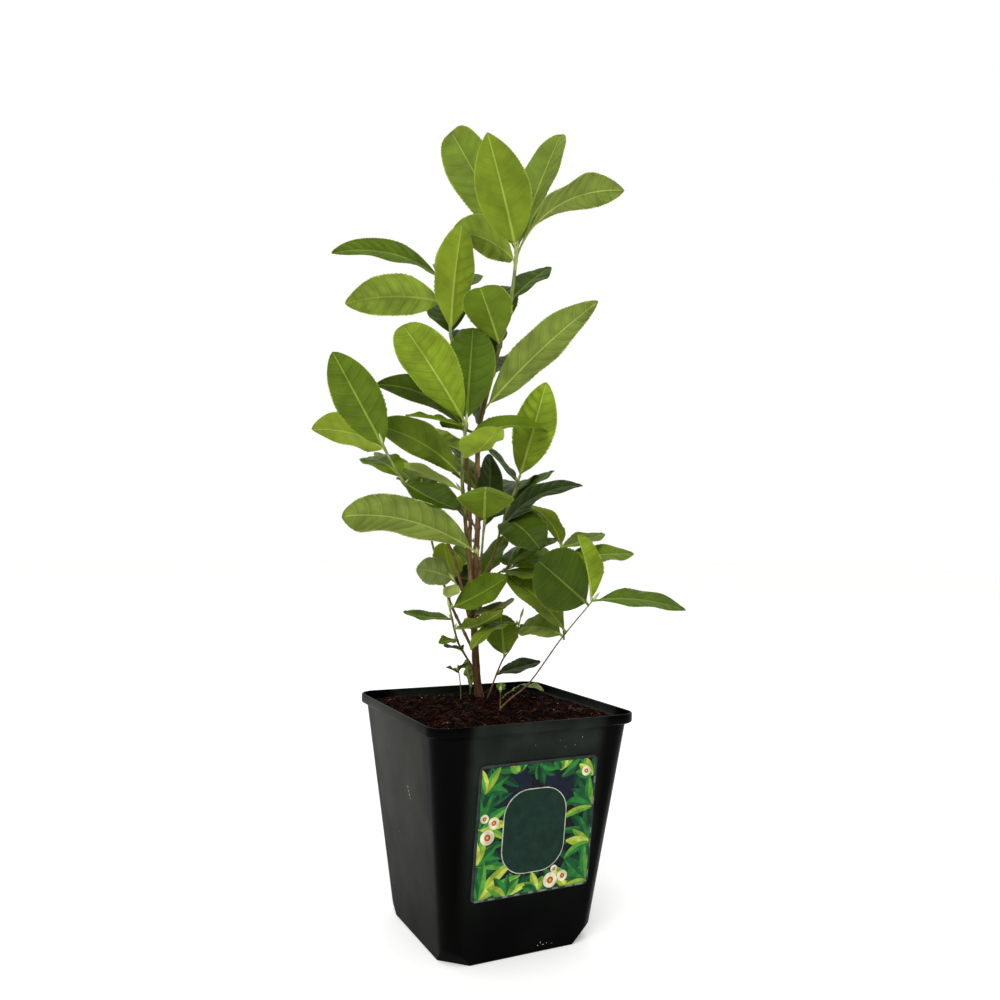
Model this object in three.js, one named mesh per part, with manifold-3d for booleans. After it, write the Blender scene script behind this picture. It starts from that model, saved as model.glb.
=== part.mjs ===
// A young tea bush standing in a black square nursery pot.
// Millimetres, +Z up. The origin is the centre of the pot's flat underside, and the label faces -Y.
import * as THREE from "three";
import { mergeVertices } from "three/addons/utils/BufferGeometryUtils.js";
import Module from "manifold-3d";

const wasm = await Module();
wasm.setup();

// ---------------------------------------------------------------- driving dimensions

const CLEARANCE = 0.3; // between two pieces that touch

const POT = {
  height: 138,
  rimHalf: 67, // half the outer width of the rim band
  bandHeight: 6.6,
  bandRound: 1.6, // height of the band's sloping lower edge
  bodyTopHalf: 64, // half the body's width just under the band
  footHalf: 48,
  cornerRadius: 12,
  wall: 1.3,
  floor: 1.8,
  cornerCut: 15, // length of the bevel across each foot corner, along each side
  cornerCutHeight: 9,
  cornerCutRun: 0.62, // how far the bevel runs inwards, as a share of its diagonal
  cornerCutWall: 1.6, // the wall behind a bevel, beside the wall elsewhere
  drainRadius: 4,
  drainFromCentre: 24,
  drainLength: 10,
};

const SOIL = {
  belowRim: 5.5, // depth of the soil's edge below the rim
  crown: 3.1, // rise of the level middle above the edge
  levelHalf: 34, // half the width of the level middle
};

const LABEL = {
  width: 77,
  height: 79,
  centreX: 1.8,
  centreZ: 76,
  cornerRadius: 3.5,
  thickness: 0.4,
};

const LEAF = {
  stations: [0, 0.08, 0.2, 0.36, 0.54, 0.72, 0.88, 1], // shares of the length that carry a section
  stalkShare: 0.07,
  stalkHalf: 0.7,
  leastThickness: 0.8,
  thicknessShare: 1 / 85,
  baseFullness: 0.8, // exponent of the outline next to the stalk
};

const TRUNK = {
  flare: 0.55, // how much wider the root flare is than the trunk
  flareHeight: 7,
  knuckle: 0.45, // how much wider the trunk is under the fork
  knuckleHeight: 5,
};

// The mean leaf of the growth rule, and how far one may differ from it either way.
const GROWTH = {
  arch: 25,
  fold: 10,
  taper: 0.75,
  vary: { size: 0.2, rise: 15, roll: 20, arch: 20, taper: 0.1 },
};

const CORNER_STEPS = 4;
const DRAIN_SIDES = 12;
const LABEL_CORNER_STEPS = 4;
const TWIG_SIDES = 6;
const TRUNK_SIDES = 10;
const ROUTE_STEP = 9; // length of one straight stretch of a limb

const SOIL_LEVEL = POT.height - SOIL.belowRim + SOIL.crown;
const FOOT_LEVEL = SOIL_LEVEL + CLEARANCE; // the flat cut under every stem
const FORK_LEVEL = 203; // where the trunk divides
const FORK_FOOT = FORK_LEVEL + CLEARANCE;

// ---------------------------------------------------------------- solids

const bufferGeometry = (positions, indices) => {
  const geometry = new THREE.BufferGeometry();
  geometry.setAttribute("position", new THREE.Float32BufferAttribute(positions, 3));
  geometry.setIndex(indices);
  return geometry;
};

// Joins rings of equally many points, from the first to the last, into a closed skin.
// Each ring runs anticlockwise seen from the end of the loft.
function loft(rings) {
  const count = rings[0].length;
  const positions = rings.flat().flatMap((p) => [p.x, p.y, p.z]);
  const indices = [];
  for (let ring = 0; ring < rings.length - 1; ring++) {
    for (let i = 0; i < count; i++) {
      const a = ring * count + i;
      const b = ring * count + ((i + 1) % count);
      indices.push(a, b, b + count, a, b + count, a + count);
    }
  }
  const last = (rings.length - 1) * count;
  for (let i = 1; i < count - 1; i++) {
    indices.push(0, i + 1, i);
    indices.push(last, last + i, last + i + 1);
  }
  return bufferGeometry(positions, indices);
}

function solid(geometry) {
  const plain = geometry.clone();
  plain.deleteAttribute("normal");
  plain.deleteAttribute("uv");
  const merged = mergeVertices(plain, 1e-4);
  return new wasm.Manifold(
    new wasm.Mesh({
      numProp: 3,
      vertProperties: merged.attributes.position.array,
      triVerts: new Uint32Array(merged.index.array),
    }),
  );
}

function geometryOf(body) {
  const mesh = body.getMesh();
  return bufferGeometry(Array.from(mesh.vertProperties), Array.from(mesh.triVerts));
}

const fused = (bodies) => bodies.reduce((whole, body) => whole.add(body));

// ---------------------------------------------------------------- pot, soil and label

// The four corners, anticlockwise, as signs of x and y.
const CORNERS = [
  [1, 1],
  [-1, 1],
  [-1, -1],
  [1, -1],
];

// A square ring with rounded corners, at one height.
function squareRing(half, radius, z) {
  const ring = [];
  for (const [corner, [sx, sy]] of CORNERS.entries()) {
    for (let step = 0; step <= CORNER_STEPS; step++) {
      const angle = (corner + step / CORNER_STEPS) * (Math.PI / 2);
      const x = sx * (half - radius) + radius * Math.cos(angle);
      const y = sy * (half - radius) + radius * Math.sin(angle);
      ring.push(new THREE.Vector3(x, y, z));
    }
  }
  return ring;
}

const bodyTop = POT.height - POT.bandHeight;

// Half the width of the pot's tapered body at a height.
const bodyHalf = (z) =>
  POT.footHalf + ((POT.bodyTopHalf - POT.footHalf) * z) / bodyTop;

const cavityHalf = (z, inset) => bodyHalf(z) - POT.wall - inset;

// The prism that bevels one foot corner. A positive shift moves the bevel into the pot.
function cornerWedge(corner, shift) {
  const diagonal = POT.cornerCut / Math.SQRT2;
  const foot = POT.footHalf * Math.SQRT2 - diagonal - shift;
  const rise = POT.cornerCutHeight;
  const run = diagonal * POT.cornerCutRun;
  const far = POT.footHalf * 2;
  const slope = (far - foot) * (rise / run);
  const outline = new THREE.Shape([
    new THREE.Vector2(foot - run, -rise),
    new THREE.Vector2(far, -rise),
    new THREE.Vector2(far, slope),
    new THREE.Vector2(foot, 0),
  ]);
  const width = POT.footHalf * 2;
  const wedge = new THREE.ExtrudeGeometry(outline, { depth: width, bevelEnabled: false });
  wedge.translate(0, 0, -width / 2);
  wedge.rotateX(Math.PI / 2);
  wedge.rotateZ(Math.PI / 4 + (corner * Math.PI) / 2);
  return solid(wedge);
}

const withCutCorners = (body, shift) =>
  CORNERS.reduce((rest, _, corner) => rest.subtract(cornerWedge(corner, shift)), body);

function potSolid() {
  const outerRadius = POT.cornerRadius;
  const outer = loft([
    squareRing(bodyHalf(0), outerRadius, 0),
    squareRing(bodyHalf(bodyTop), outerRadius, bodyTop),
    squareRing(POT.rimHalf, outerRadius, bodyTop + POT.bandRound),
    squareRing(POT.rimHalf, outerRadius, POT.height),
  ]);
  const innerRadius = outerRadius - POT.wall;
  const above = POT.height + 1; // the cavity runs out through the rim
  const mouthHalf = POT.rimHalf - POT.wall;
  const cavity = loft([
    squareRing(cavityHalf(POT.floor, 0), innerRadius, POT.floor),
    squareRing(cavityHalf(bodyTop, 0), innerRadius, bodyTop),
    squareRing(mouthHalf, innerRadius, bodyTop + POT.bandRound),
    squareRing(mouthHalf, innerRadius, above),
  ]);
  const wallShift = POT.wall * POT.cornerCutWall;
  let pot = withCutCorners(solid(outer), 0).subtract(withCutCorners(solid(cavity), wallShift));
  const { drainRadius, drainLength, drainFromCentre } = POT;
  for (const [sx, sy] of CORNERS) {
    const drain = new THREE.CylinderGeometry(drainRadius, drainRadius, drainLength, DRAIN_SIDES);
    drain.rotateX(Math.PI / 2);
    drain.translate(sx * drainFromCentre, sy * drainFromCentre, 0);
    pot = pot.subtract(solid(drain));
  }
  return pot;
}

function soilSolid() {
  const radius = POT.cornerRadius - POT.wall - CLEARANCE;
  const foot = POT.floor + CLEARANCE;
  const edge = POT.height - SOIL.belowRim;
  const side = cavityHalf(bodyTop, CLEARANCE);
  const soil = loft([
    squareRing(cavityHalf(foot, CLEARANCE), radius, foot),
    squareRing(side, radius, bodyTop),
    squareRing(side, radius, edge),
    squareRing(SOIL.levelHalf, radius, SOIL_LEVEL),
  ]);
  const wallShift = (POT.wall + CLEARANCE) * POT.cornerCutWall;
  return withCutCorners(solid(soil), wallShift);
}

// A thin plate with rounded corners, lying 0.3 mm off the pot's leaning front wall.
function labelGeometry() {
  const { width: w, height: h, cornerRadius: r } = LABEL;
  const outline = new THREE.Shape();
  outline.moveTo(-w / 2 + r, -h / 2);
  outline.lineTo(w / 2 - r, -h / 2);
  outline.absarc(w / 2 - r, -h / 2 + r, r, -Math.PI / 2, 0);
  outline.absarc(w / 2 - r, h / 2 - r, r, 0, Math.PI / 2);
  outline.absarc(-w / 2 + r, h / 2 - r, r, Math.PI / 2, Math.PI);
  outline.absarc(-w / 2 + r, -h / 2 + r, r, Math.PI, Math.PI * 1.5);
  const plate = new THREE.ExtrudeGeometry(outline, {
    depth: LABEL.thickness,
    bevelEnabled: false,
    curveSegments: LABEL_CORNER_STEPS,
  });
  const lean = Math.atan((POT.bodyTopHalf - POT.footHalf) / bodyTop);
  plate.translate(0, 0, CLEARANCE);
  plate.rotateX(Math.PI / 2 + lean);
  plate.translate(LABEL.centreX, -bodyHalf(LABEL.centreZ), LABEL.centreZ);
  return plate;
}

// ---------------------------------------------------------------- limbs

// Each route is a smooth curve from a limb's foot to its tip, with its radius at each end.
const route = (footRadius, tipRadius, ...points) => ({
  footRadius,
  tipRadius,
  curve: new THREE.CatmullRomCurve3(
    points.map((p) => new THREE.Vector3(...p)),
    false,
    "catmullrom",
    0.5,
  ),
});

const ROUTES = {
  trunk: route(2.6, 2.2, [5, 28, FOOT_LEVEL], [2.5, 27.5, 150], [0, 27, 178], [-2, 27, FORK_LEVEL]),
  leader: route(
    1.4,
    0.8,
    [-1.2, 28.2, FORK_FOOT],
    [-1, 25, 227],
    [-2, 21, 260],
    [-5, 17, 296],
    [-5, 13, 319],
    [0, 5, 352],
    [7, -4, 398],
    [10, -5, 430],
  ),
  leftRear: route(
    1.1,
    0.7,
    [-4.2, 27, FORK_FOOT],
    [-6.5, 22.5, 227],
    [-9, 19, 266],
    [-13, 19, 306],
    [-19, 19, 338],
    [-27, 22, 394],
    [-30, 24, 414],
  ),
  middle: route(
    1.1,
    0.8,
    [-2.6, 24.6, FORK_FOOT],
    [-8.5, 19.5, 227],
    [-15, 14, 260],
    [-19, 10, 285],
    [-19, 5, 316],
  ),
  front: route(0.9, 0.7, [0.4, 25.2, FORK_FOOT], [-2, 15, 227], [-4, 7, 251]),
  left: route(
    1.1,
    0.7,
    [-4.8, 26.4, 190],
    [-14, 22, 215],
    [-24, 18, 237],
    [-50, 16, 267],
    [-67, 16, 292],
    [-71, 16, 300],
  ),
  right: route(1, 0.6, [2.8, 26, 193], [8, 23, 219], [14, 23, 241], [22, 24, 262], [29, 23, 282]),
  lowRight: route(
    0.9,
    0.6,
    [0, -13, FOOT_LEVEL],
    [13, -2, 139.5],
    [26, -4, 150],
    [42, -15, 178],
    [56, -31, 204],
  ),
  lowRightSide: route(0.6, 0.5, [44.6, -13.6, 181], [47, -6, 209], [51, 2, 237]),
  lowMiddle: route(0.9, 0.6, [8, 22, FOOT_LEVEL], [13, 12, 161], [18, 7, 172], [22, 3, 191]),
  lowLeft: route(0.8, 0.6, [-1.7, 26.6, 157], [-9, 25, 167], [-15, 22, 176], [-22, 19, 197]),
  rear: route(1, 0.6, [-0.5, 30.6, 185], [5, 40, 215], [11, 50, 252], [14, 56, 290]),
  rearLeft: route(1, 0.6, [-2.7, 29, 172], [-14, 38, 200], [-24, 46, 238], [-30, 50, 275]),
  leftRearSide: route(0.6, 0.5, [-10.9, 19.6, 268], [-14, 22, 273]),
  middleSide: route(0.6, 0.5, [-2.8, 13.5, 226], [-6.5, 8, 228], [-9.5, 4, 232]),
  leftSide: route(0.6, 0.5, [-14, 22.7, 209.6], [-17.5, 23, 214]),
  rightSide: route(0.6, 0.5, [8.7, 22.5, 214.3], [14, 20, 219], [20, 17, 222]),
  forkSide: route(0.6, 0.5, [0.8, 29.3, 205], [4, 31, 210]),
  trunkFront: route(0.6, 0.5, [-1.5, 23.6, 191], [-1.5, 20, 196]),
  paleSprout: route(0.6, 0.5, [4, 41, 135.4], [4, 40, 141]),
  tinySprout: route(0.5, 0.4, [-9, 27, FOOT_LEVEL], [-10.5, 25, 146], [-13, 23, 156]),
  archingSprout: route(0.5, 0.4, [17, 18, FOOT_LEVEL], [19, 16, 139], [22, 12, 142]),
  thinSprout: route(0.5, 0.4, [-2, -17, FOOT_LEVEL], [-2, -17, 148]),
};

const radiusAt = (path, share) =>
  THREE.MathUtils.lerp(path.footRadius, path.tipRadius, share);

// A tapering limb between two shares of its route. flare(height) widens it near the ground.
function limb(path, from, to, sides = TWIG_SIDES, flare = () => 1) {
  const length = path.curve.getLength() * (to - from);
  const steps = Math.max(1, Math.round(length / ROUTE_STEP));
  const rings = [];
  for (let step = 0; step <= steps; step++) {
    const share = THREE.MathUtils.lerp(from, to, step / steps);
    const centre = path.curve.getPointAt(share);
    const along = path.curve.getTangentAt(share);
    if (share === 0) along.set(0, 0, 1); // the foot is cut level
    const across = new THREE.Vector3(0, 1, 0).cross(along).normalize();
    const other = along.clone().cross(across);
    const radius = radiusAt(path, share) * flare(centre.z);
    const ring = [];
    for (let i = 0; i < sides; i++) {
      const angle = (i / sides) * Math.PI * 2;
      ring.push(
        centre
          .clone()
          .addScaledVector(across, radius * Math.cos(angle))
          .addScaledVector(other, radius * Math.sin(angle)),
      );
    }
    rings.push(ring);
  }
  return solid(loft(rings));
}

// The trunk spreads into a root flare at the soil and a knuckle under the fork.
function trunkWidth(height) {
  const flare = TRUNK.flare * Math.exp(-(height - FOOT_LEVEL) / TRUNK.flareHeight);
  const knuckle = TRUNK.knuckle * Math.exp(-(FORK_LEVEL - height) / TRUNK.knuckleHeight);
  return 1 + flare + knuckle;
}

// ---------------------------------------------------------------- leaves

// One leaf. at is the share of the route where it leaves the stem, bearing its compass direction
// anticlockwise from +X, rise its slope above level, roll its turn about its own midrib, arch the
// angle that the midrib bends through, fold the lift of each half, and taper the exponent of the
// outline at the tip. Lengths in millimetres and angles in degrees.
const leaf = (at, bearing, rise, length, width, turns = {}) => ({
  at,
  bearing,
  rise,
  length,
  width,
  roll: 0,
  arch: 20,
  fold: 10,
  taper: 0.75,
  ...turns,
});

const radians = THREE.MathUtils.degToRad;

// Half the blade's width at a share of its length, as a share of half its greatest width.
function outlineAt(share, taper) {
  const a = LEAF.baseFullness;
  const widest = a / (a + taper);
  const peak = widest ** a * (1 - widest) ** taper;
  const s = THREE.MathUtils.clamp((share - LEAF.stalkShare) / (1 - LEAF.stalkShare), 0, 1);
  return (s ** a * (1 - s) ** taper) / peak;
}

// The midrib point, the two edge points and the upward normal of a leaf at a share of its length.
function leafSection(spec, root, share) {
  const bearing = radians(spec.bearing);
  const rise = radians(spec.rise);
  const chord = new THREE.Vector3(
    Math.cos(bearing) * Math.cos(rise),
    Math.sin(bearing) * Math.cos(rise),
    Math.sin(rise),
  );
  const level = new THREE.Vector3(-Math.sin(bearing), Math.cos(bearing), 0);
  const upper = chord.clone().cross(level);
  const roll = radians(spec.roll);
  const side = level.clone().multiplyScalar(Math.cos(roll)).addScaledVector(upper, Math.sin(roll));
  const normal = upper.multiplyScalar(Math.cos(roll)).addScaledVector(level, -Math.sin(roll));

  const arch = radians(spec.arch);
  let along = share * spec.length;
  let lift = 0;
  if (Math.abs(arch) > 1e-3) {
    const bend = spec.length / (2 * Math.sin(arch / 2));
    along = bend * (Math.sin(arch / 2) - Math.sin(arch / 2 - arch * share));
    lift = bend * (Math.cos(arch / 2 - arch * share) - Math.cos(arch / 2));
  }
  const slope = arch / 2 - arch * share;
  const middle = root.clone().addScaledVector(chord, along).addScaledVector(normal, lift);
  const up = normal.clone().multiplyScalar(Math.cos(slope)).addScaledVector(chord, -Math.sin(slope));

  const half = Math.max((spec.width / 2) * outlineAt(share, spec.taper), LEAF.stalkHalf * (1 - share));
  const fold = radians(spec.fold);
  const edge = (sign) =>
    middle
      .clone()
      .addScaledVector(side, sign * half * Math.cos(fold))
      .addScaledVector(up, half * Math.sin(fold));
  return { middle, left: edge(1), right: edge(-1), up };
}

function leafSolid(spec, root) {
  const thickness = Math.max(LEAF.leastThickness, spec.length * LEAF.thicknessShare);
  const rings = LEAF.stations.map((share) => {
    const { middle, left, right, up } = leafSection(spec, root, share);
    const top = middle.clone().addScaledVector(up, thickness / 2);
    const under = middle.clone().addScaledVector(up, -thickness / 2);
    return [under, left, top, right];
  });
  return solid(loft(rings));
}

// A leaf of the seeded rule is left out where one of its sample points comes closer than its room
// to a sample point of another leaf or of a limb, or falls outside the crown.
const ROOM = 6;
const STEM_ROOM = 15; // the stem this near a leaf's own root doesn't count
const SAMPLE_SHARES = [0.25, 0.4, 0.55, 0.7, 0.85, 1];
const CROWN = { centre: new THREE.Vector3(-4, 36, 320), half: new THREE.Vector3(100, 78, 175) };

function samples(spec, root) {
  return SAMPLE_SHARES.flatMap((share) => {
    const { middle, left, right } = leafSection(spec, root, share);
    const halfLeft = middle.clone().lerp(left, 0.5);
    const halfRight = middle.clone().lerp(right, 0.5);
    return [middle, left, right, halfLeft, halfRight];
  });
}

const inCrown = (point) => point.clone().sub(CROWN.centre).divide(CROWN.half).lengthSq() < 1;

// A repeatable stream of numbers between 0 and 1.
function seeded(seed) {
  let state = seed;
  return () => {
    state = (state * 16807) % 2147483647;
    return state / 2147483647;
  };
}

// Leaves set up a stem within a spread either side of a bearing, each varied a little by the seed.
function sprays({ seed, count, from, to = 1, bearing, spread, rise, length, width }) {
  const random = seeded(seed);
  const vary = (amount) => (random() * 2 - 1) * amount;
  return Array.from({ length: count }, (_, i) => {
    const size = 1 + vary(GROWTH.vary.size);
    const turn = bearing + vary(spread);
    const slope = rise + vary(GROWTH.vary.rise);
    const look = {
      roll: vary(GROWTH.vary.roll),
      arch: GROWTH.arch + vary(GROWTH.vary.arch),
      fold: GROWTH.fold,
      taper: GROWTH.taper + vary(GROWTH.vary.taper),
    };
    const at = THREE.MathUtils.lerp(from, to, (i + 0.5) / count);
    return leaf(at, turn, slope, length * size, width * size, look);
  });
}

// ---------------------------------------------------------------- the plant

const BOUGHS = [
  { name: "leader_bough", path: ROUTES.leader, to: 0.43 },
  { name: "left_rear_bough", path: ROUTES.leftRear, to: 0.74 },
  { name: "middle_bough", path: ROUTES.middle, to: 0.62 },
  { name: "front_bough", path: ROUTES.front, to: 0.6 },
  { name: "left_bough", path: ROUTES.left, to: 0.68 },
  { name: "right_bough", path: ROUTES.right, to: 0.5 },
  { name: "low_right_bough", path: ROUTES.lowRight, to: 0.62 },
  { name: "low_middle_bough", path: ROUTES.lowMiddle, to: 0.24 },
  { name: "rear_bough", path: ROUTES.rear, to: 0.4 },
  { name: "rear_left_bough", path: ROUTES.rearLeft, to: 0.4 },
];

const MASSES = [
  {
    name: "leader_top_leaves",
    path: ROUTES.leader,
    from: 0.67,
    leaves: [
      leaf(0.72, 225, 35, 48, 32, { roll: 15, fold: 18, taper: 0.6 }),
      leaf(0.85, 15, 40, 46, 24, { roll: 15, arch: 10, taper: 0.85 }),
      leaf(0.96, 125, 30, 56, 34, { roll: 40, arch: 50, fold: 8 }),
      leaf(0.97, 355, 36, 98, 32, { roll: -18, arch: 72 }),
      leaf(0.99, 125, 60, 104, 34, { roll: -90, arch: -10, fold: 14, taper: 0.4 }),
      leaf(0.99, 20, 65, 102, 28, { roll: 15, arch: 10, fold: 20, taper: 0.6 }),
      leaf(0.99, 220, 50, 76, 35, { roll: 15, arch: 30, fold: 8, taper: 0.95 }),
    ],
    fill: {
      seed: 104,
      count: 8,
      from: 0.7,
      bearing: 60,
      spread: 70,
      rise: 35,
      length: 60,
      width: 28,
    },
  },
  {
    name: "leader_lower_leaves",
    path: ROUTES.leader,
    from: 0.43,
    to: 0.67,
    leaves: [
      leaf(0.48, 60, 55, 51, 20, { roll: -60, arch: 0 }),
      leaf(0.53, 335, 45, 106, 32, { roll: -45, fold: 8, taper: 0.8 }),
      leaf(0.64, 40, 25, 60, 26, { arch: 0, taper: 0.8 }),
    ],
    fill: {
      seed: 98,
      count: 8,
      from: 0.45,
      to: 0.65,
      bearing: 50,
      spread: 60,
      rise: 25,
      length: 62,
      width: 28,
    },
  },
  {
    name: "left_rear_leaves",
    path: ROUTES.leftRear,
    from: 0.74,
    leaves: [
      leaf(0.81, 275, 80, 71, 29, { fold: 6, taper: 0.65 }),
      leaf(0.91, 160, -3, 66, 32, { roll: 45, arch: 60, fold: 6, taper: 0.85 }),
      leaf(0.98, 145, 15, 80, 26, { roll: 15, arch: 60, taper: 0.8 }),
    ],
    fill: {
      seed: 226,
      count: 8,
      from: 0.76,
      bearing: 80,
      spread: 60,
      rise: 35,
      length: 62,
      width: 28,
    },
  },
  {
    name: "middle_leaves",
    path: ROUTES.middle,
    from: 0.62,
    leaves: [
      leaf(0.69, 145, 30, 68, 32, { roll: 45, arch: 50, fold: 8, taper: 0.7 }),
      leaf(0.8, 275, 20, 45, 28, { arch: -40, fold: 20, taper: 0.65 }),
      leaf(0.83, 105, 25, 46, 24, { arch: 0, taper: 0.7 }),
      leaf(0.88, 0, 10, 62, 22, { roll: 30, arch: 60, fold: 20, taper: 0.8 }),
      leaf(0.96, 155, 25, 64, 28, { roll: 30, arch: 70, fold: 8 }),
      leaf(0.98, 200, 45, 77, 34, { roll: 30, fold: 8, taper: 0.5 }),
      leaf(0.98, 335, 87, 63, 32, { roll: 90, arch: 0, fold: 6, taper: 0.55 }),
    ],
    fill: {
      seed: 446,
      count: 6,
      from: 0.64,
      bearing: 120,
      spread: 60,
      rise: 20,
      length: 50,
      width: 24,
    },
  },
  {
    name: "front_leaves",
    path: ROUTES.front,
    from: 0.6,
    leaves: [
      leaf(0.9, 58, 62, 60, 22, { roll: 45, fold: 8, taper: 0.8 }),
      leaf(0.99, 245, 15, 69, 36, { arch: 70, fold: -18, taper: 0.7 }),
    ],
  },
  {
    name: "left_leaves",
    path: ROUTES.left,
    from: 0.68,
    leaves: [
      leaf(0.78, 315, -24, 42, 27, { roll: 30, arch: -20, fold: 18, taper: 0.8 }),
      leaf(0.8, 105, 20, 45, 26, { roll: -15, arch: 40, fold: 8, taper: 0.8 }),
      leaf(0.95, 170, 60, 70, 30, { roll: 75, arch: 10, fold: 8 }),
      leaf(0.96, 130, 15, 58, 30, { roll: 45, arch: 50, fold: 8, taper: 0.8 }),
    ],
    fill: {
      seed: 961,
      count: 6,
      from: 0.7,
      bearing: 80,
      spread: 50,
      rise: 20,
      length: 48,
      width: 24,
    },
  },
  {
    name: "right_leaves",
    path: ROUTES.right,
    from: 0.5,
    leaves: [
      leaf(0.58, 325, 30, 64, 26, { roll: 30, arch: 70, taper: 0.85 }),
      leaf(0.67, 280, -25, 44, 30, { roll: 30, arch: 70, fold: 8, taper: 0.7 }),
      leaf(0.7, 30, 30, 58, 20, { roll: -15, arch: 70, taper: 0.8 }),
      leaf(0.77, 10, 35, 49, 20, { taper: 0.8 }),
      leaf(0.98, 105, 40, 41, 16, { roll: 15, arch: -10, taper: 0.8 }),
      leaf(0.99, 290, 70, 69, 29, { roll: -60, arch: 10, taper: 0.8 }),
    ],
    fill: {
      seed: 49,
      count: 8,
      from: 0.52,
      bearing: 50,
      spread: 60,
      rise: 25,
      length: 52,
      width: 24,
    },
  },
  {
    name: "low_right_leaves",
    path: ROUTES.lowRight,
    from: 0.62,
    leaves: [
      leaf(0.69, 125, 5, 32, 26, { roll: -30, arch: 60, fold: 8 }),
      leaf(0.72, 135, 40, 56, 28, { roll: -30, arch: 40, fold: 14, taper: 0.8 }),
      leaf(0.95, 180, 37, 47, 41, { roll: -90, arch: 10, fold: 5, taper: 0.6 }),
      leaf(0.98, 180, 75, 44, 24, { fold: 25, taper: 0.65 }),
      leaf(0.99, 335, -5, 60, 24, { roll: 25, arch: 30, fold: 8, taper: 0.85 }),
    ],
  },
  {
    name: "low_right_side_leaves",
    path: ROUTES.lowRightSide,
    from: 0,
    leaves: [
      leaf(0.84, 355, 5, 55, 22, { roll: 30, arch: 10, fold: 8, taper: 0.8 }),
      leaf(0.98, 190, 45, 38, 20, { arch: 60, fold: 8, taper: 0.8 }),
      leaf(0.98, 10, 15, 40, 20, { roll: 15, arch: 0, taper: 0.8 }),
    ],
  },
  {
    name: "low_middle_leaves",
    path: ROUTES.lowMiddle,
    from: 0.24,
    leaves: [
      leaf(0.3, 345, 15, 31, 20, { roll: 15, arch: 0, taper: 0.85 }),
      leaf(0.52, 85, 75, 28, 22, { roll: -30, fold: 12 }),
      leaf(0.92, 195, -20, 43, 16, { arch: 60, taper: 0.8 }),
    ],
  },
  {
    name: "low_left_leaves",
    path: ROUTES.lowLeft,
    from: 0,
    leaves: [
      leaf(0.3, 215, 10, 20, 12),
      leaf(0.49, 200, -5, 16, 10, { roll: -15, taper: 0.8 }),
      leaf(0.68, 295, 20, 43, 18, { roll: -15, arch: -40, taper: 0.85 }),
      leaf(0.82, 135, 5, 35, 16, { roll: -15, arch: -20, taper: 0.85 }),
      leaf(0.97, 330, 30, 43, 26, { roll: 45, arch: -20 }),
    ],
  },
  {
    name: "rear_leaves",
    path: ROUTES.rear,
    from: 0.4,
    leaves: [leaf(0.44, 85, -20, 41, 29, { roll: 45, arch: 40, fold: 8 })],
    fill: {
      seed: 327,
      count: 12,
      from: 0.45,
      bearing: 60,
      spread: 90,
      rise: 30,
      length: 62,
      width: 28,
    },
  },
  {
    name: "rear_left_leaves",
    path: ROUTES.rearLeft,
    from: 0.4,
    leaves: [leaf(0.44, 30, -12, 58, 24, { roll: 60, arch: 40, fold: 8 })],
    fill: {
      seed: 182,
      count: 12,
      from: 0.45,
      bearing: 110,
      spread: 80,
      rise: 30,
      length: 60,
      width: 27,
    },
  },
  {
    name: "left_rear_side_leaf",
    path: ROUTES.leftRearSide,
    from: 0,
    leaves: [leaf(0.98, 130, 20, 50, 18, { roll: 30, arch: 10 })],
  },
  {
    name: "middle_side_leaf",
    path: ROUTES.middleSide,
    from: 0,
    leaves: [leaf(0.98, 181, 13, 93, 35, { roll: 45, arch: 50, fold: 6, taper: 0.5 })],
  },
  {
    name: "left_side_leaves",
    path: ROUTES.leftSide,
    from: 0,
    leaves: [
      leaf(0.5, 205, -50, 12, 14, { arch: 10, fold: 5 }),
      leaf(0.95, 165, 15, 26, 26, { roll: -45, arch: 40, fold: 5 }),
      leaf(0.98, 85, 45, 34, 22, { roll: 15, arch: -20, fold: 5 }),
    ],
  },
  {
    name: "right_side_leaves",
    path: ROUTES.rightSide,
    from: 0,
    leaves: [
      leaf(0.6, 305, -6, 38, 25, { roll: 15, arch: 20, fold: 5 }),
      leaf(0.8, 345, 30, 42, 24, { roll: 15, arch: 40, fold: 5 }),
      leaf(0.95, 0, 0, 46, 28, { roll: 30, arch: 70, fold: 5 }),
      leaf(0.98, 45, 25, 37, 22, { roll: -30, arch: 50, fold: 5 }),
    ],
  },
  {
    name: "fork_side_leaf",
    path: ROUTES.forkSide,
    from: 0,
    leaves: [leaf(0.98, 15, 55, 42, 22, { arch: 10, fold: 5 })],
  },
  {
    name: "trunk_front_leaf",
    path: ROUTES.trunkFront,
    from: 0,
    leaves: [leaf(0.98, 275, 5, 36, 26, { roll: 20, arch: -30, fold: 12, taper: 0.5 })],
  },
  {
    name: "pale_sprout",
    path: ROUTES.paleSprout,
    from: 0,
    leaves: [leaf(0.9, 200, 75, 20, 10, { arch: 10 })],
  },
  {
    name: "tiny_sprout",
    path: ROUTES.tinySprout,
    from: 0,
    leaves: [leaf(0.9, 160, 20, 9, 6), leaf(0.98, 290, 30, 9, 6)],
  },
  {
    name: "arching_sprout",
    path: ROUTES.archingSprout,
    from: 0,
    leaves: [leaf(0.9, 300, 5, 24, 11, { arch: 60 })],
  },
  {
    name: "thin_sprout",
    path: ROUTES.thinSprout,
    from: 0,
    leaves: [leaf(0.9, 60, 30, 9, 5)],
  },
];

// ---------------------------------------------------------------- assembly

const MATERIALS = {
  pot: { color: 0x17191a, roughness: 0.5, metalness: 0 },
  soil: { color: 0x2c1912, roughness: 1, metalness: 0 },
  label: { color: 0x16332b, roughness: 0.4, metalness: 0 },
  bark: { color: 0x6b4a33, roughness: 0.8, metalness: 0 },
  leaf: { color: 0x5c7d22, roughness: 0.5, metalness: 0 },
};

const bush = new THREE.Group();

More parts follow.
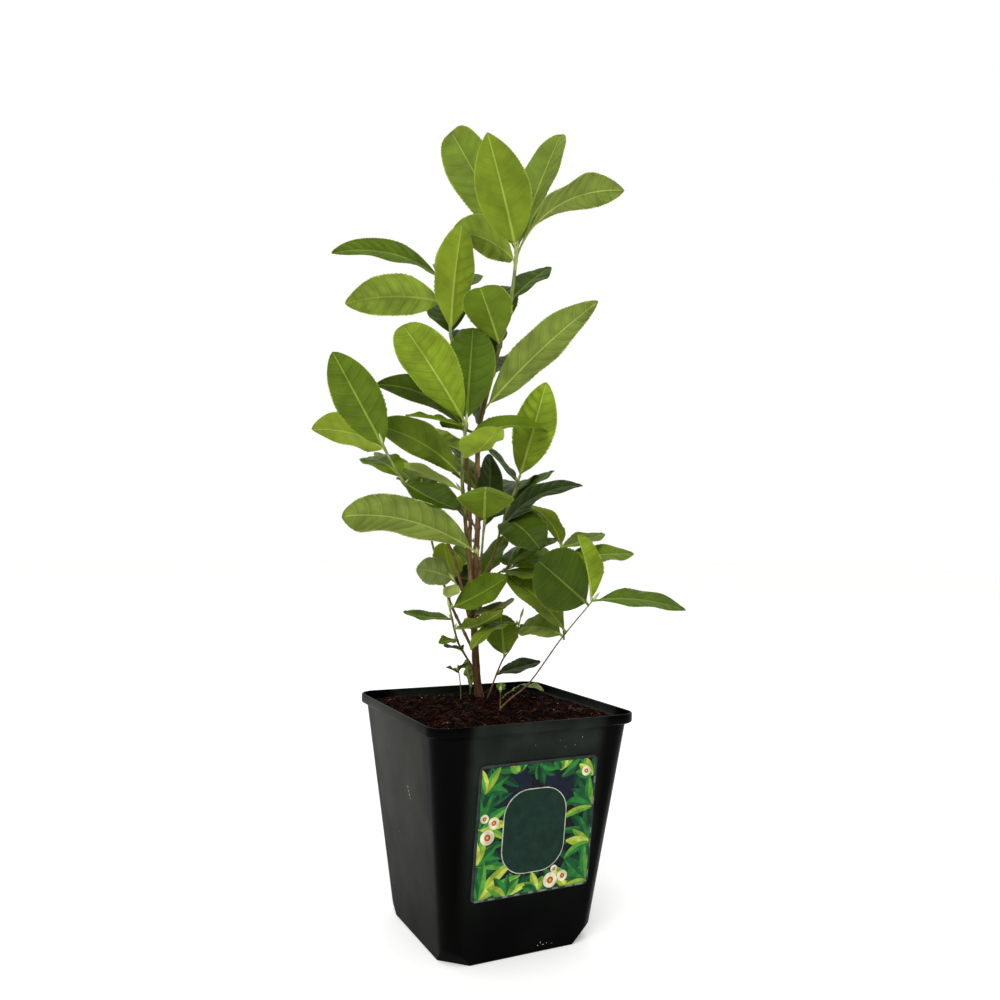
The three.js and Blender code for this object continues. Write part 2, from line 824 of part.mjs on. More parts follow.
function add(name, geometry, look) {
  const mesh = new THREE.Mesh(geometry, new THREE.MeshStandardMaterial(MATERIALS[look]));
  mesh.name = name;
  bush.add(mesh);
}

const rootOf = (path, spec) => path.curve.getPointAt(spec.at);

// Adds the leaves of the seeded rule to the masses that have one.
function fillMasses() {
  const taken = MASSES.flatMap(({ path, leaves }) =>
    leaves.flatMap((spec) => samples(spec, rootOf(path, spec))),
  );
  const limbs = Object.values(ROUTES).flatMap(({ curve }) => {
    const steps = Math.ceil(curve.getLength() / ROOM);
    return Array.from({ length: steps + 1 }, (_, i) => curve.getPointAt(i / steps));
  });
  for (const { path, leaves, fill } of MASSES) {
    if (!fill) continue;
    for (const spec of sprays(fill)) {
      const root = rootOf(path, spec);
      const near = [...taken, ...limbs.filter((q) => q.distanceTo(root) > STEM_ROOM)];
      const points = samples(spec, root);
      if (!points.every((p) => inCrown(p) && near.every((q) => p.distanceTo(q) > ROOM))) continue;
      leaves.push(spec);
      taken.push(...points);
    }
  }
}

// A mass starts just clear of the limb that ends at its first share.
function massSolid({ path, from, to = 1, leaves }) {
  const start = from > 0 ? from + CLEARANCE / path.curve.getLength() : 0;
  const blades = leaves.map((spec) => leafSolid(spec, rootOf(path, spec)));
  return fused([limb(path, start, to), ...blades]);
}

fillMasses();

add("pot", geometryOf(potSolid()), "pot");
add("potting_soil", geometryOf(soilSolid()), "soil");
add("pot_label", labelGeometry(), "label");
add("trunk", geometryOf(limb(ROUTES.trunk, 0, 1, TRUNK_SIDES, trunkWidth)), "bark");
for (const { name, path, to } of BOUGHS) {
  add(name, geometryOf(limb(path, 0, to)), "bark");
}
for (const mass of MASSES) {
  add(mass.name, geometryOf(massSolid(mass)), "leaf");
}

export default bush;
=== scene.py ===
"""A young tea bush in a black square nursery pot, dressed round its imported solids."""

import math
from types import SimpleNamespace

import bmesh
import bpy
import numpy as np
from mathutils import Matrix, Vector, noise


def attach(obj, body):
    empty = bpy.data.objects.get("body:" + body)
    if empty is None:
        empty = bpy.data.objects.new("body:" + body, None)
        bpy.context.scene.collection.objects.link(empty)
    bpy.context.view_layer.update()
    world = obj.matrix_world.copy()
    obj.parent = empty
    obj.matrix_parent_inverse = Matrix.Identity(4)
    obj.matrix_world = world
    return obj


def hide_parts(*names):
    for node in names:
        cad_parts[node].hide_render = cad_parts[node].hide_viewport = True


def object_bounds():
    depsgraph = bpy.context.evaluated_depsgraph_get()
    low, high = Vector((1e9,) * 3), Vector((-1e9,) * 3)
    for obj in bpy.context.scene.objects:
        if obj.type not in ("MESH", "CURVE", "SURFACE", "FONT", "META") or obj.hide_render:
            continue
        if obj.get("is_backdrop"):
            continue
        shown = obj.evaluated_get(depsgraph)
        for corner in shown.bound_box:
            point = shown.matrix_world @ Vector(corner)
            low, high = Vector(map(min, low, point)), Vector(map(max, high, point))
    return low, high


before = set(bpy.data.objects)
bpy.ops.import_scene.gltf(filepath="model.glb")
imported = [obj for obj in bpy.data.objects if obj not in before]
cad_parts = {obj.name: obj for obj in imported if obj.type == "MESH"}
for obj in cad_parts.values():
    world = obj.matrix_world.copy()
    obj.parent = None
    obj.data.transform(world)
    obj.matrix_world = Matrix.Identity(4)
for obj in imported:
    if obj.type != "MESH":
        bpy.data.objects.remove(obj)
cad_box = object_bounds()

MM = 0.001

# ---------------------------------------------------------------- camera

LENS = 32.47
SENSOR_WIDTH = 36
CAMERA_PLACE = Vector((-0.254, -0.519, 0.241))
CAMERA_YAW = -26.4  # degrees from +Y, turned towards +X
CAMERA_PITCH = 2.5
CAMERA_ROLL = 1.07
camera_data = bpy.data.cameras.new("camera")
camera_data.lens = LENS
camera_data.sensor_width = SENSOR_WIDTH
camera = bpy.data.objects.new("camera", camera_data)
bpy.context.collection.objects.link(camera)
bpy.context.scene.camera = camera
camera.matrix_world = (
    Matrix.Translation(CAMERA_PLACE)
    @ Matrix.Rotation(math.radians(CAMERA_YAW), 4, "Z")
    @ Matrix.Rotation(math.radians(90 + CAMERA_PITCH), 4, "X")
    @ Matrix.Rotation(math.radians(CAMERA_ROLL), 4, "Z")
)

# ---------------------------------------------------------------- the limbs' routes, in millimetres

POT_HEIGHT = 138
SOIL_BELOW_RIM = 5.5
SOIL_CROWN = 3.1
CLEARANCE = 0.3
SOIL_LEVEL = POT_HEIGHT - SOIL_BELOW_RIM + SOIL_CROWN
FOOT_LEVEL = SOIL_LEVEL + CLEARANCE
FORK_LEVEL = 203
FORK_FOOT = FORK_LEVEL + CLEARANCE
ARC_DIVISIONS = 200  # the straight stretches that a route's length is measured by


class Route:
    """A limb's smooth curve from its foot to its tip, with its radius at each end."""

    def __init__(self, foot_radius, tip_radius, *points):
        points = np.array(points, float)
        before = 2 * points[0] - points[1]
        after = 2 * points[-1] - points[-2]
        self.foot_radius = foot_radius
        self.tip_radius = tip_radius
        self.knots = np.vstack([before, points, after])
        self.times = np.linspace(0, 1, ARC_DIVISIONS + 1)
        steps = np.linalg.norm(np.diff(self.point(self.times), axis=0), axis=1)
        self.arc = np.concatenate([[0], np.cumsum(steps)])
        self.length = self.arc[-1]

    def point(self, time):
        """The curve's points at times that run evenly from knot to knot, from 0 to 1."""
        spans = len(self.knots) - 3
        place = np.atleast_1d(time) * spans
        span = np.clip(np.floor(place).astype(int), 0, spans - 1)
        w = (place - span)[:, None]
        before, start, end, after = (self.knots[span + i] for i in range(4))
        leave = (end - before) / 2
        arrive = (after - start) / 2
        square = -3 * start + 3 * end - 2 * leave - arrive
        cube = 2 * start - 2 * end + leave + arrive
        return start + leave * w + square * w**2 + cube * w**3

    def at(self, share):
        """The points at these shares of the curve's length."""
        times = np.interp(np.atleast_1d(share) * self.length, self.arc, self.times)
        return self.point(times)

    def radius(self, share):
        """The limb's radius at these shares of its length."""
        return self.foot_radius + (self.tip_radius - self.foot_radius) * share


ROUTES = {
    "trunk": Route(2.6, 2.2, (5, 28, FOOT_LEVEL), (2.5, 27.5, 150), (0, 27, 178), (-2, 27, FORK_LEVEL)),
    "leader": Route(
        1.4, 0.8, (-1.2, 28.2, FORK_FOOT), (-1, 25, 227), (-2, 21, 260), (-5, 17, 296),
        (-5, 13, 319), (0, 5, 352), (7, -4, 398), (10, -5, 430),
    ),
    "left_rear": Route(
        1.1, 0.7, (-4.2, 27, FORK_FOOT), (-6.5, 22.5, 227), (-9, 19, 266), (-13, 19, 306),
        (-19, 19, 338), (-27, 22, 394), (-30, 24, 414),
    ),
    "middle": Route(
        1.1, 0.8, (-2.6, 24.6, FORK_FOOT), (-8.5, 19.5, 227), (-15, 14, 260), (-19, 10, 285),
        (-19, 5, 316),
    ),
    "front": Route(0.9, 0.7, (0.4, 25.2, FORK_FOOT), (-2, 15, 227), (-4, 7, 251)),
    "left": Route(
        1.1, 0.7, (-4.8, 26.4, 190), (-14, 22, 215), (-24, 18, 237), (-50, 16, 267), (-67, 16, 292),
        (-71, 16, 300),
    ),
    "right": Route(1, 0.6, (2.8, 26, 193), (8, 23, 219), (14, 23, 241), (22, 24, 262), (29, 23, 282)),
    "low_right": Route(
        0.9, 0.6, (0, -13, FOOT_LEVEL), (13, -2, 139.5), (26, -4, 150), (42, -15, 178),
        (56, -31, 204),
    ),
    "low_right_side": Route(0.6, 0.5, (44.6, -13.6, 181), (47, -6, 209), (51, 2, 237)),
    "low_middle": Route(0.9, 0.6, (8, 22, FOOT_LEVEL), (13, 12, 161), (18, 7, 172), (22, 3, 191)),
    "low_left": Route(0.8, 0.6, (-1.7, 26.6, 157), (-9, 25, 167), (-15, 22, 176), (-22, 19, 197)),
    "rear": Route(1, 0.6, (-0.5, 30.6, 185), (5, 40, 215), (11, 50, 252), (14, 56, 290)),
    "rear_left": Route(1, 0.6, (-2.7, 29, 172), (-14, 38, 200), (-24, 46, 238), (-30, 50, 275)),
    "left_rear_side": Route(0.6, 0.5, (-10.9, 19.6, 268), (-14, 22, 273)),
    "middle_side": Route(0.6, 0.5, (-2.8, 13.5, 226), (-6.5, 8, 228), (-9.5, 4, 232)),
    "left_side": Route(0.6, 0.5, (-14, 22.7, 209.6), (-17.5, 23, 214)),
    "right_side": Route(0.6, 0.5, (8.7, 22.5, 214.3), (14, 20, 219), (20, 17, 222)),
    "fork_side": Route(0.6, 0.5, (0.8, 29.3, 205), (4, 31, 210)),
    "trunk_front": Route(0.6, 0.5, (-1.5, 23.6, 191), (-1.5, 20, 196)),
    "pale_sprout": Route(0.6, 0.5, (4, 41, 135.4), (4, 40, 141)),
    "tiny_sprout": Route(0.5, 0.4, (-9, 27, FOOT_LEVEL), (-10.5, 25, 146), (-13, 23, 156)),
    "arching_sprout": Route(0.5, 0.4, (17, 18, FOOT_LEVEL), (19, 16, 139), (22, 12, 142)),
    "thin_sprout": Route(0.5, 0.4, (-2, -17, FOOT_LEVEL), (-2, -17, 148)),
}

# ---------------------------------------------------------------- leaves, in millimetres and degrees

STALK_SHARE = 0.07  # how much of a leaf's length is stalk
STALK_HALF = 0.7
BASE_FULLNESS = 0.8  # a smaller power makes the blade's base fuller
NO_ARCH = 1e-3  # radians, below which a midrib is straight


def leaf(at, bearing, rise, length, width, tint, roll=0, arch=20, fold=10, taper=0.75, twist=0):
    """One leaf, described as in the solids' source, with the twist of its outer half and its tint: the
    stage that it has turned, save that the "shade" tint is a darker copy painted as shade."""
    return SimpleNamespace(**locals())


def blade_half(spec, share):
    """Half the leaf's width at a share of its length."""
    widest = BASE_FULLNESS / (BASE_FULLNESS + spec.taper)
    peak = widest**BASE_FULLNESS * (1 - widest) ** spec.taper
    blade = np.clip((share - STALK_SHARE) / (1 - STALK_SHARE), 0, 1)
    outline = blade**BASE_FULLNESS * (1 - blade) ** spec.taper / peak
    return np.maximum(spec.width / 2 * outline, STALK_HALF * (1 - share))


def leaf_axes(spec):
    """The leaf's chord, its left side and its upward normal."""
    bearing, rise, roll = (math.radians(x) for x in (spec.bearing, spec.rise, spec.roll))
    chord = np.array(
        [math.cos(bearing) * math.cos(rise), math.sin(bearing) * math.cos(rise), math.sin(rise)]
    )
    level = np.array([-math.sin(bearing), math.cos(bearing), 0])
    upper = np.cross(chord, level)
    side = level * math.cos(roll) + upper * math.sin(roll)
    normal = upper * math.cos(roll) - level * math.sin(roll)
    return chord, side, normal


def leaf_line(spec, root, share):
    """The midrib's points and upward directions at shares of the leaf's length."""
    chord, _, normal = leaf_axes(spec)
    share = np.asarray(share, float)[..., None]
    arch = math.radians(spec.arch)
    along = share * spec.length
    lift = np.zeros_like(along)
    if abs(arch) > NO_ARCH:
        bend = spec.length / (2 * math.sin(arch / 2))
        along = bend * (math.sin(arch / 2) - np.sin(arch / 2 - arch * share))
        lift = bend * (np.cos(arch / 2 - arch * share) - math.cos(arch / 2))
    slope = arch / 2 - arch * share
    middle = root + chord * along + normal * lift
    up = normal * np.cos(slope) - chord * np.sin(slope)
    return middle, up


ROOM = 6  # what a leaf of the growth rule keeps from other leaves and from the limbs
STEM_ROOM = 15  # stretches of a limb nearer the leaf's own joint than this don't count
SAMPLE_SHARES = np.array([0.25, 0.4, 0.55, 0.7, 0.85, 1])
CROWN_CENTRE = np.array([-4, 36, 320])
CROWN_HALF = np.array([100, 78, 175])
FILL_TINTS = ("moss", "deep", "meadow")
GROWTH = SimpleNamespace(arch=25, fold=10, taper=0.75)
VARIES = SimpleNamespace(size=0.2, rise=15, roll=20, arch=20, taper=0.1)


def samples(spec, root):
    """Points over the blade, by which the growth rule keeps leaves apart."""
    middle, up = leaf_line(spec, root, SAMPLE_SHARES)
    _, side, _ = leaf_axes(spec)
    half = blade_half(spec, SAMPLE_SHARES)[:, None]
    fold = math.radians(spec.fold)
    left = middle + side * half * math.cos(fold) + up * half * math.sin(fold)
    right = middle - side * half * math.cos(fold) + up * half * math.sin(fold)
    return np.vstack([middle, left, right, (middle + left) / 2, (middle + right) / 2])


def seeded(seed):
    """A repeatable stream of numbers between 0 and 1, by Park and Miller's rule."""
    modulus = 2**31 - 1
    state = seed
    while True:
        state = state * 16807 % modulus
        yield state / modulus


def sprays(seed, count, start, bearing, spread, rise, length, width, end=1):
    """Leaves set up a stem within a spread either side of a bearing, each varied by the seed."""
    stream = seeded(seed)

    def vary(amount):
        return (next(stream) * 2 - 1) * amount

    specs = []
    for i in range(count):
        size = 1 + vary(VARIES.size)
        turn = bearing + vary(spread)
        slope = rise + vary(VARIES.rise)
        roll = vary(VARIES.roll)
        arch = GROWTH.arch + vary(VARIES.arch)
        taper = GROWTH.taper + vary(VARIES.taper)
        at = start + (end - start) * (i + 0.5) / count
        tint = FILL_TINTS[i % len(FILL_TINTS)]
        look = (tint, roll, arch, GROWTH.fold, taper)
        specs.append(leaf(at, turn, slope, length * size, width * size, *look))
    return specs


def mass_of(route, start, end, *leaves, fill=None):
    """A mass of leaves: its route, the shares of it that the mass's own stem covers, its leaves,
    and the rule for the leaves that fill it out behind."""
    return SimpleNamespace(route=route, start=start, end=end, leaves=list(leaves), fill=fill)


MASSES = {
    "leader_top_leaves": mass_of(
        "leader", 0.67, 1,
        leaf(0.72, 225, 35, 48, 32, "meadow", roll=15, fold=18, taper=0.6),
        leaf(0.85, 15, 40, 46, 24, "deep", roll=15, arch=10, taper=0.85),
        leaf(0.96, 125, 30, 56, 34, "ribbed", roll=40, arch=50, fold=8),
        leaf(0.97, 355, 36, 98, 32, "dusty", roll=-18, arch=72, twist=-75),
        leaf(0.99, 125, 60, 104, 34, "olive", roll=-90, arch=-10, fold=14, taper=0.4),
        leaf(0.99, 20, 65, 102, 28, "olive", roll=15, arch=10, fold=20, taper=0.6),
        leaf(0.99, 220, 50, 76, 35, "fresh", roll=15, arch=30, fold=8, taper=0.95),
        fill=dict(seed=104, count=8, start=0.7, bearing=60, spread=70, rise=35, length=60, width=28),
    ),
    "leader_lower_leaves": mass_of(
        "leader", 0.43, 0.67,
        leaf(0.48, 60, 55, 51, 20, "deep", roll=-60, arch=0),
        leaf(0.53, 335, 45, 106, 32, "dusty", roll=-45, fold=8, taper=0.8),
        leaf(0.64, 40, 25, 60, 26, "deep", arch=0, taper=0.8),
        fill=dict(
            seed=98, count=8, start=0.45, end=0.65, bearing=50, spread=60, rise=25, length=62, width=28
        ),
    ),
    "left_rear_leaves": mass_of(
        "left_rear", 0.74, 1,
        leaf(0.81, 275, 80, 71, 29, "lime", fold=6, taper=0.65),
        leaf(0.91, 160, -3, 66, 32, "ribbed", roll=45, arch=60, fold=6, taper=0.85),
        leaf(0.98, 145, 15, 80, 26, "moss", roll=15, arch=60, taper=0.8),
        fill=dict(seed=226, count=8, start=0.76, bearing=80, spread=60, rise=35, length=62, width=28),
    ),
    "middle_leaves": mass_of(
        "middle", 0.62, 1,
        leaf(0.69, 145, 30, 68, 32, "meadow", roll=45, arch=50, fold=8, taper=0.7),
        leaf(0.8, 275, 20, 45, 28, "tender", arch=-40, fold=20, taper=0.65),
        leaf(0.83, 105, 25, 46, 24, "ribbed", arch=0, taper=0.7),
        leaf(0.88, 0, 10, 62, 22, "meadow", roll=30, arch=60, fold=20, taper=0.8),
        leaf(0.96, 155, 25, 64, 28, "deep", roll=30, arch=70, fold=8),
        leaf(0.98, 200, 45, 77, 34, "bright", roll=30, fold=8, taper=0.5),
        leaf(0.98, 335, 87, 63, 32, "moss", roll=90, arch=0, fold=6, taper=0.55),
        fill=dict(seed=446, count=6, start=0.64, bearing=120, spread=60, rise=20, length=50, width=24),
    ),
    "front_leaves": mass_of(
        "front", 0.6, 1,
        leaf(0.9, 58, 62, 60, 22, "shade", roll=45, fold=8, taper=0.8),
        leaf(0.99, 245, 15, 69, 36, "meadow", arch=70, fold=-18, taper=0.7),
    ),
    "left_leaves": mass_of(
        "left", 0.68, 1,
        leaf(0.78, 315, -24, 42, 27, "deep", roll=30, arch=-20, fold=18, taper=0.8),
        leaf(0.8, 105, 20, 45, 26, "meadow", roll=-15, arch=40, fold=8, taper=0.8),
        leaf(0.95, 170, 60, 70, 30, "moss", roll=75, arch=10, fold=8),
        leaf(0.96, 130, 15, 58, 30, "lime", roll=45, arch=50, fold=8, taper=0.8),
        fill=dict(seed=961, count=6, start=0.7, bearing=80, spread=50, rise=20, length=48, width=24),
    ),
    "right_leaves": mass_of(
        "right", 0.5, 1,
        leaf(0.58, 325, 30, 64, 26, "shade", roll=30, arch=70, taper=0.85),
        leaf(0.67, 280, -25, 44, 30, "deep", roll=30, arch=70, fold=8, taper=0.7),
        leaf(0.7, 30, 30, 58, 20, "deep", roll=-15, arch=70, taper=0.8),
        leaf(0.77, 10, 35, 49, 20, "moss", taper=0.8),
        leaf(0.98, 105, 40, 41, 16, "deep", roll=15, arch=-10, taper=0.8),
        leaf(0.99, 290, 70, 69, 29, "bright", roll=-60, arch=10, taper=0.8),
        fill=dict(seed=49, count=8, start=0.52, bearing=50, spread=60, rise=25, length=52, width=24),
    ),
    "low_right_leaves": mass_of(
        "low_right", 0.62, 1,
        leaf(0.69, 125, 5, 32, 26, "dusty", roll=-30, arch=60, fold=8),
        leaf(0.72, 135, 40, 56, 28, "olive", roll=-30, arch=40, fold=14, taper=0.8),
        leaf(0.95, 180, 37, 47, 41, "deep", roll=-90, arch=10, fold=5, taper=0.6),
        leaf(0.98, 180, 75, 44, 24, "bright", fold=25, taper=0.65),
        leaf(0.99, 335, -5, 60, 24, "moss", roll=25, arch=30, fold=8, taper=0.85),
    ),
    "low_right_side_leaves": mass_of(
        "low_right_side", 0, 1,
        leaf(0.84, 355, 5, 55, 22, "meadow", roll=30, arch=10, fold=8, taper=0.8),
        leaf(0.98, 190, 45, 38, 20, "fresh", arch=60, fold=8, taper=0.8),
        leaf(0.98, 10, 15, 40, 20, "meadow", roll=15, arch=0, taper=0.8),
    ),
    "low_middle_leaves": mass_of(
        "low_middle", 0.24, 1,
        leaf(0.3, 345, 15, 31, 20, "shade", roll=15, arch=0, taper=0.85),
        leaf(0.52, 85, 75, 28, 22, "meadow", roll=-30, fold=12),
        leaf(0.92, 195, -20, 43, 16, "olive", arch=60, taper=0.8),
    ),
    "low_left_leaves": mass_of(
        "low_left", 0, 1,
        leaf(0.3, 215, 10, 20, 12, "deep"),
        leaf(0.49, 200, -5, 16, 10, "moss", roll=-15, taper=0.8),
        leaf(0.68, 295, 20, 43, 18, "olive", roll=-15, arch=-40, taper=0.85),
        leaf(0.82, 135, 5, 35, 16, "moss", roll=-15, arch=-20, taper=0.85),
        leaf(0.97, 330, 30, 43, 26, "meadow", roll=45, arch=-20),
    ),
    "rear_leaves": mass_of(
        "rear", 0.4, 1,
        leaf(0.44, 85, -20, 41, 29, "deep", roll=45, arch=40, fold=8),
        fill=dict(seed=327, count=12, start=0.45, bearing=60, spread=90, rise=30, length=62, width=28),
    ),
    "rear_left_leaves": mass_of(
        "rear_left", 0.4, 1,
        leaf(0.44, 30, -12, 58, 24, "shade", roll=60, arch=40, fold=8),
        fill=dict(seed=182, count=12, start=0.45, bearing=110, spread=80, rise=30, length=60, width=27),
    ),
    "left_rear_side_leaf": mass_of(
        "left_rear_side", 0, 1,
        leaf(0.98, 130, 20, 50, 18, "pale", roll=30, arch=10),
    ),
    "middle_side_leaf": mass_of(
        "middle_side", 0, 1,
        leaf(0.98, 181, 13, 93, 40, "dusty", roll=28, arch=50, fold=6, taper=0.75, twist=50),
    ),
    "left_side_leaves": mass_of(
        "left_side", 0, 1,
        leaf(0.5, 205, -50, 12, 14, "pale", arch=10, fold=5),
        leaf(0.95, 165, 15, 26, 26, "sage", roll=-45, arch=40, fold=5),
        leaf(0.98, 85, 45, 34, 22, "lime", roll=15, arch=-20, fold=5),
    ),
    "right_side_leaves": mass_of(
        "right_side", 0, 1,
        leaf(0.6, 305, -6, 38, 25, "meadow", roll=15, arch=20, fold=5),
        leaf(0.8, 345, 30, 42, 24, "moss", roll=15, arch=40, fold=5),
        leaf(0.95, 0, 0, 46, 28, "leafy", roll=30, arch=70, fold=5),
        leaf(0.98, 45, 25, 37, 22, "meadow", roll=-30, arch=50, fold=5),
    ),
    "fork_side_leaf": mass_of(
        "fork_side", 0, 1,
        leaf(0.98, 15, 55, 42, 22, "moss", arch=10, fold=5),
    ),
    "trunk_front_leaf": mass_of(
        "trunk_front", 0, 1,
        leaf(0.98, 275, 5, 36, 26, "withered", roll=20, arch=-30, fold=12, taper=0.5),
    ),
    "pale_sprout": mass_of("pale_sprout", 0, 1, leaf(0.9, 200, 75, 20, 10, "sage", arch=10)),
    "tiny_sprout": mass_of(
        "tiny_sprout", 0, 1,
        leaf(0.9, 160, 20, 9, 6, "moss"),
        leaf(0.98, 290, 30, 9, 6, "deep"),
    ),
    "arching_sprout": mass_of("arching_sprout", 0, 1, leaf(0.9, 300, 5, 24, 11, "sage", arch=60)),
    "thin_sprout": mass_of("thin_sprout", 0, 1, leaf(0.9, 60, 30, 9, 5, "moss")),
}


def root_of(mass, spec):
    """Where on its limb's midline a leaf springs from."""
    return ROUTES[mass.route].at(spec.at)[0]


def fill_masses():
    """Adds the leaves of the seeded rule to the masses that have one."""
    taken = [samples(spec, root_of(mass, spec)) for mass in MASSES.values() for spec in mass.leaves]
    limbs = []
    for path in ROUTES.values():
        steps = math.ceil(path.length / ROOM)
        limbs.append(path.at(np.arange(steps + 1) / steps))
    limbs = np.vstack(limbs)
    for mass in MASSES.values():
        if mass.fill is None:
            continue
        for spec in sprays(**mass.fill):
            root = root_of(mass, spec)
            away = limbs[np.linalg.norm(limbs - root, axis=1) > STEM_ROOM]
            near = np.vstack([*taken, away])
            points = samples(spec, root)
            inside = (((points - CROWN_CENTRE) / CROWN_HALF) ** 2).sum(1) < 1
            gaps = np.linalg.norm(points[:, None] - near[None], axis=2)
            if inside.all() and gaps.min() > ROOM:
                mass.leaves.append(spec)
                taken.append(points)


fill_masses()

# ---------------------------------------------------------------- materials


def linear(colour):
    """An sRGB hex value as a linear colour."""
    channels = [int(colour[i : i + 2], 16) / 255 for i in (1, 3, 5)]
    return [c / 12.92 if c <= 0.04045 else ((c + 0.055) / 1.055) ** 2.4 for c in channels] + [1]


def add(tree, kind, inputs=None, stops=None, **settings):
    """Adds a node. inputs gives its sockets a value each, or another node's output, and stops
    gives a ramp's places and colours."""
    node = tree.nodes.new(kind)
    for name, value in settings.items():
        setattr(node, name, value)
    for socket, value in (inputs or {}).items():
        if isinstance(value, bpy.types.NodeSocket):
            tree.links.new(value, node.inputs[socket])
        else:
            node.inputs[socket].default_value = value
    if stops:
        points = node.color_ramp.elements
        points[0].position, points[0].color = stops[0]
        points[1].position, points[1].color = stops[-1]
        for position, colour in stops[1:-1]:
            points.new(position).color = colour
    return node


def per(size):
    """A pattern's scale, in object coordinates, from the size of its grain in millimetres."""
    return 1 / (size * MM)


def from_to(start, end):
    """The sockets that give a range of places, in millimetres."""
    return {"From Min": start * MM, "From Max": end * MM}


def blank(name, finish):
    """A new material with its tree, shader and object coordinates. finish gives the shader's
    sockets what is the same all over."""
    material = bpy.data.materials.new(name)
    material.use_nodes = True
    tree = material.node_tree
    shader = tree.nodes["Principled BSDF"]
    for socket, value in finish.items():
        shader.inputs[socket].default_value = value
    place = add(tree, "ShaderNodeTexCoord").outputs["Object"]
    return material, tree, shader, place


def mottled(tree, place, colours, size, detail=3, low=0.35, high=0.65):
    """A colour that drifts between the given ones, in patches of a size in millimetres."""
    grain = add(tree, "ShaderNodeTexNoise", {"Vector": place, "Scale": per(size), "Detail": detail})
    stops = [
        (low + (high - low) * i / (len(colours) - 1), linear(colour))
        for i, colour in enumerate(colours)
    ]
    return add(tree, "ShaderNodeValToRGB", {"Fac": grain.outputs["Fac"]}, stops).outputs["Color"]


def grained(tree, shader, place, size, detail, strength, depth):
    """Raises the surface in a fine grain of a size and a depth in millimetres."""
    grain = add(tree, "ShaderNodeTexNoise", {"Vector": place, "Scale": per(size), "Detail": detail})
    rise = {"Height": grain.outputs["Fac"], "Strength": strength, "Distance": depth * MM}
    bump = add(tree, "ShaderNodeBump", rise)
    tree.links.new(bump.outputs["Normal"], shader.inputs["Normal"])


def shaded(colour, amount):
    """An sRGB hex value made darker, below 1, or lighter, above 1."""
    channels = [min(255, round(int(colour[i : i + 2], 16) * amount)) for i in (1, 3, 5)]
    return "#%02x%02x%02x" % tuple(channels)


def mixed(first, second, share):
    """An sRGB hex value between two others."""
    pairs = [(int(first[i : i + 2], 16), int(second[i : i + 2], 16)) for i in (1, 3, 5)]
    return "#%02x%02x%02x" % tuple(round(a + (b - a) * share) for a, b in pairs)


def tint(colour, puckered=0.35, rib=0.5, quilt=0.5):
    """A leaf's tint, the stage that it has turned save for "shade", a darker copy of the leaf colour
    painted as shade for leaves in shadow: its colour, how strongly painted light and shade set off
    the skin between its veins, how pale its rib is, and how far the skin rises, in millimetres."""
    return SimpleNamespace(colour=colour, puckered=puckered, rib=rib, quilt=quilt)


TINTS = {
    "lime": tint("#83981f", puckered=0.2, quilt=0.3),
    "fresh": tint("#768a1a", puckered=0.25, quilt=0.3),
    "bright": tint("#87a01f", puckered=0.7, rib=0.6, quilt=0.8),
    "tender": tint("#98b02c", puckered=0.2, quilt=0.3),
    "ribbed": tint("#97ae3a", puckered=0.9, rib=0.3, quilt=1),
    "leafy": tint("#748e1a", quilt=0.4),
    "meadow": tint("#5f7613", rib=0.45),
    "moss": tint("#4d650d", rib=0.38, quilt=0.6),
    "deep": tint("#3c500a", rib=0.34, quilt=0.6),
    # shade: no stage of the leaf, but a darker copy of the leaf colour, painted shade for leaves deep in
    # shadow
    "shade": tint("#263606", rib=0.3, quilt=0.6),
    "dusty": tint("#7c8e3a", puckered=0.9, rib=0.55, quilt=1.5),
    "sage": tint("#7c8b4a", puckered=0.8, rib=0.5, quilt=1),
    "olive": tint("#6b7f22"),
    "pale": tint("#a0b058", puckered=0.1, quilt=0.2),
    "withered": tint("#5c5f22", quilt=0.6),
}
UNDERSIDE = "#7f9042"  # the bloom that every underside turns towards
RIB = "#b3c25c"
UNDER_BLOOM = 0.25

# Painted light and shade on a fully puckered skin, lighter or darker: from the pale margin, 0, over
# a vein's hollow, painted shade, 0.5, to the crest between two veins, painted highlight, 1.
PUCKERED_LIGHT = ((0, 0.35), (0.2, 0), (0.5, -0.22), (1, 0.14))
PATCH_SIZE = 16
CELL_SIZE = 1.6
CELL_DEPTH = 0.4
FLESH = {  # how light spreads inside a leaf
    "Subsurface Weight": 0.55,
    "Subsurface Radius": (1, 1, 0.6),
    "Subsurface Scale": 0.45 * MM,
}


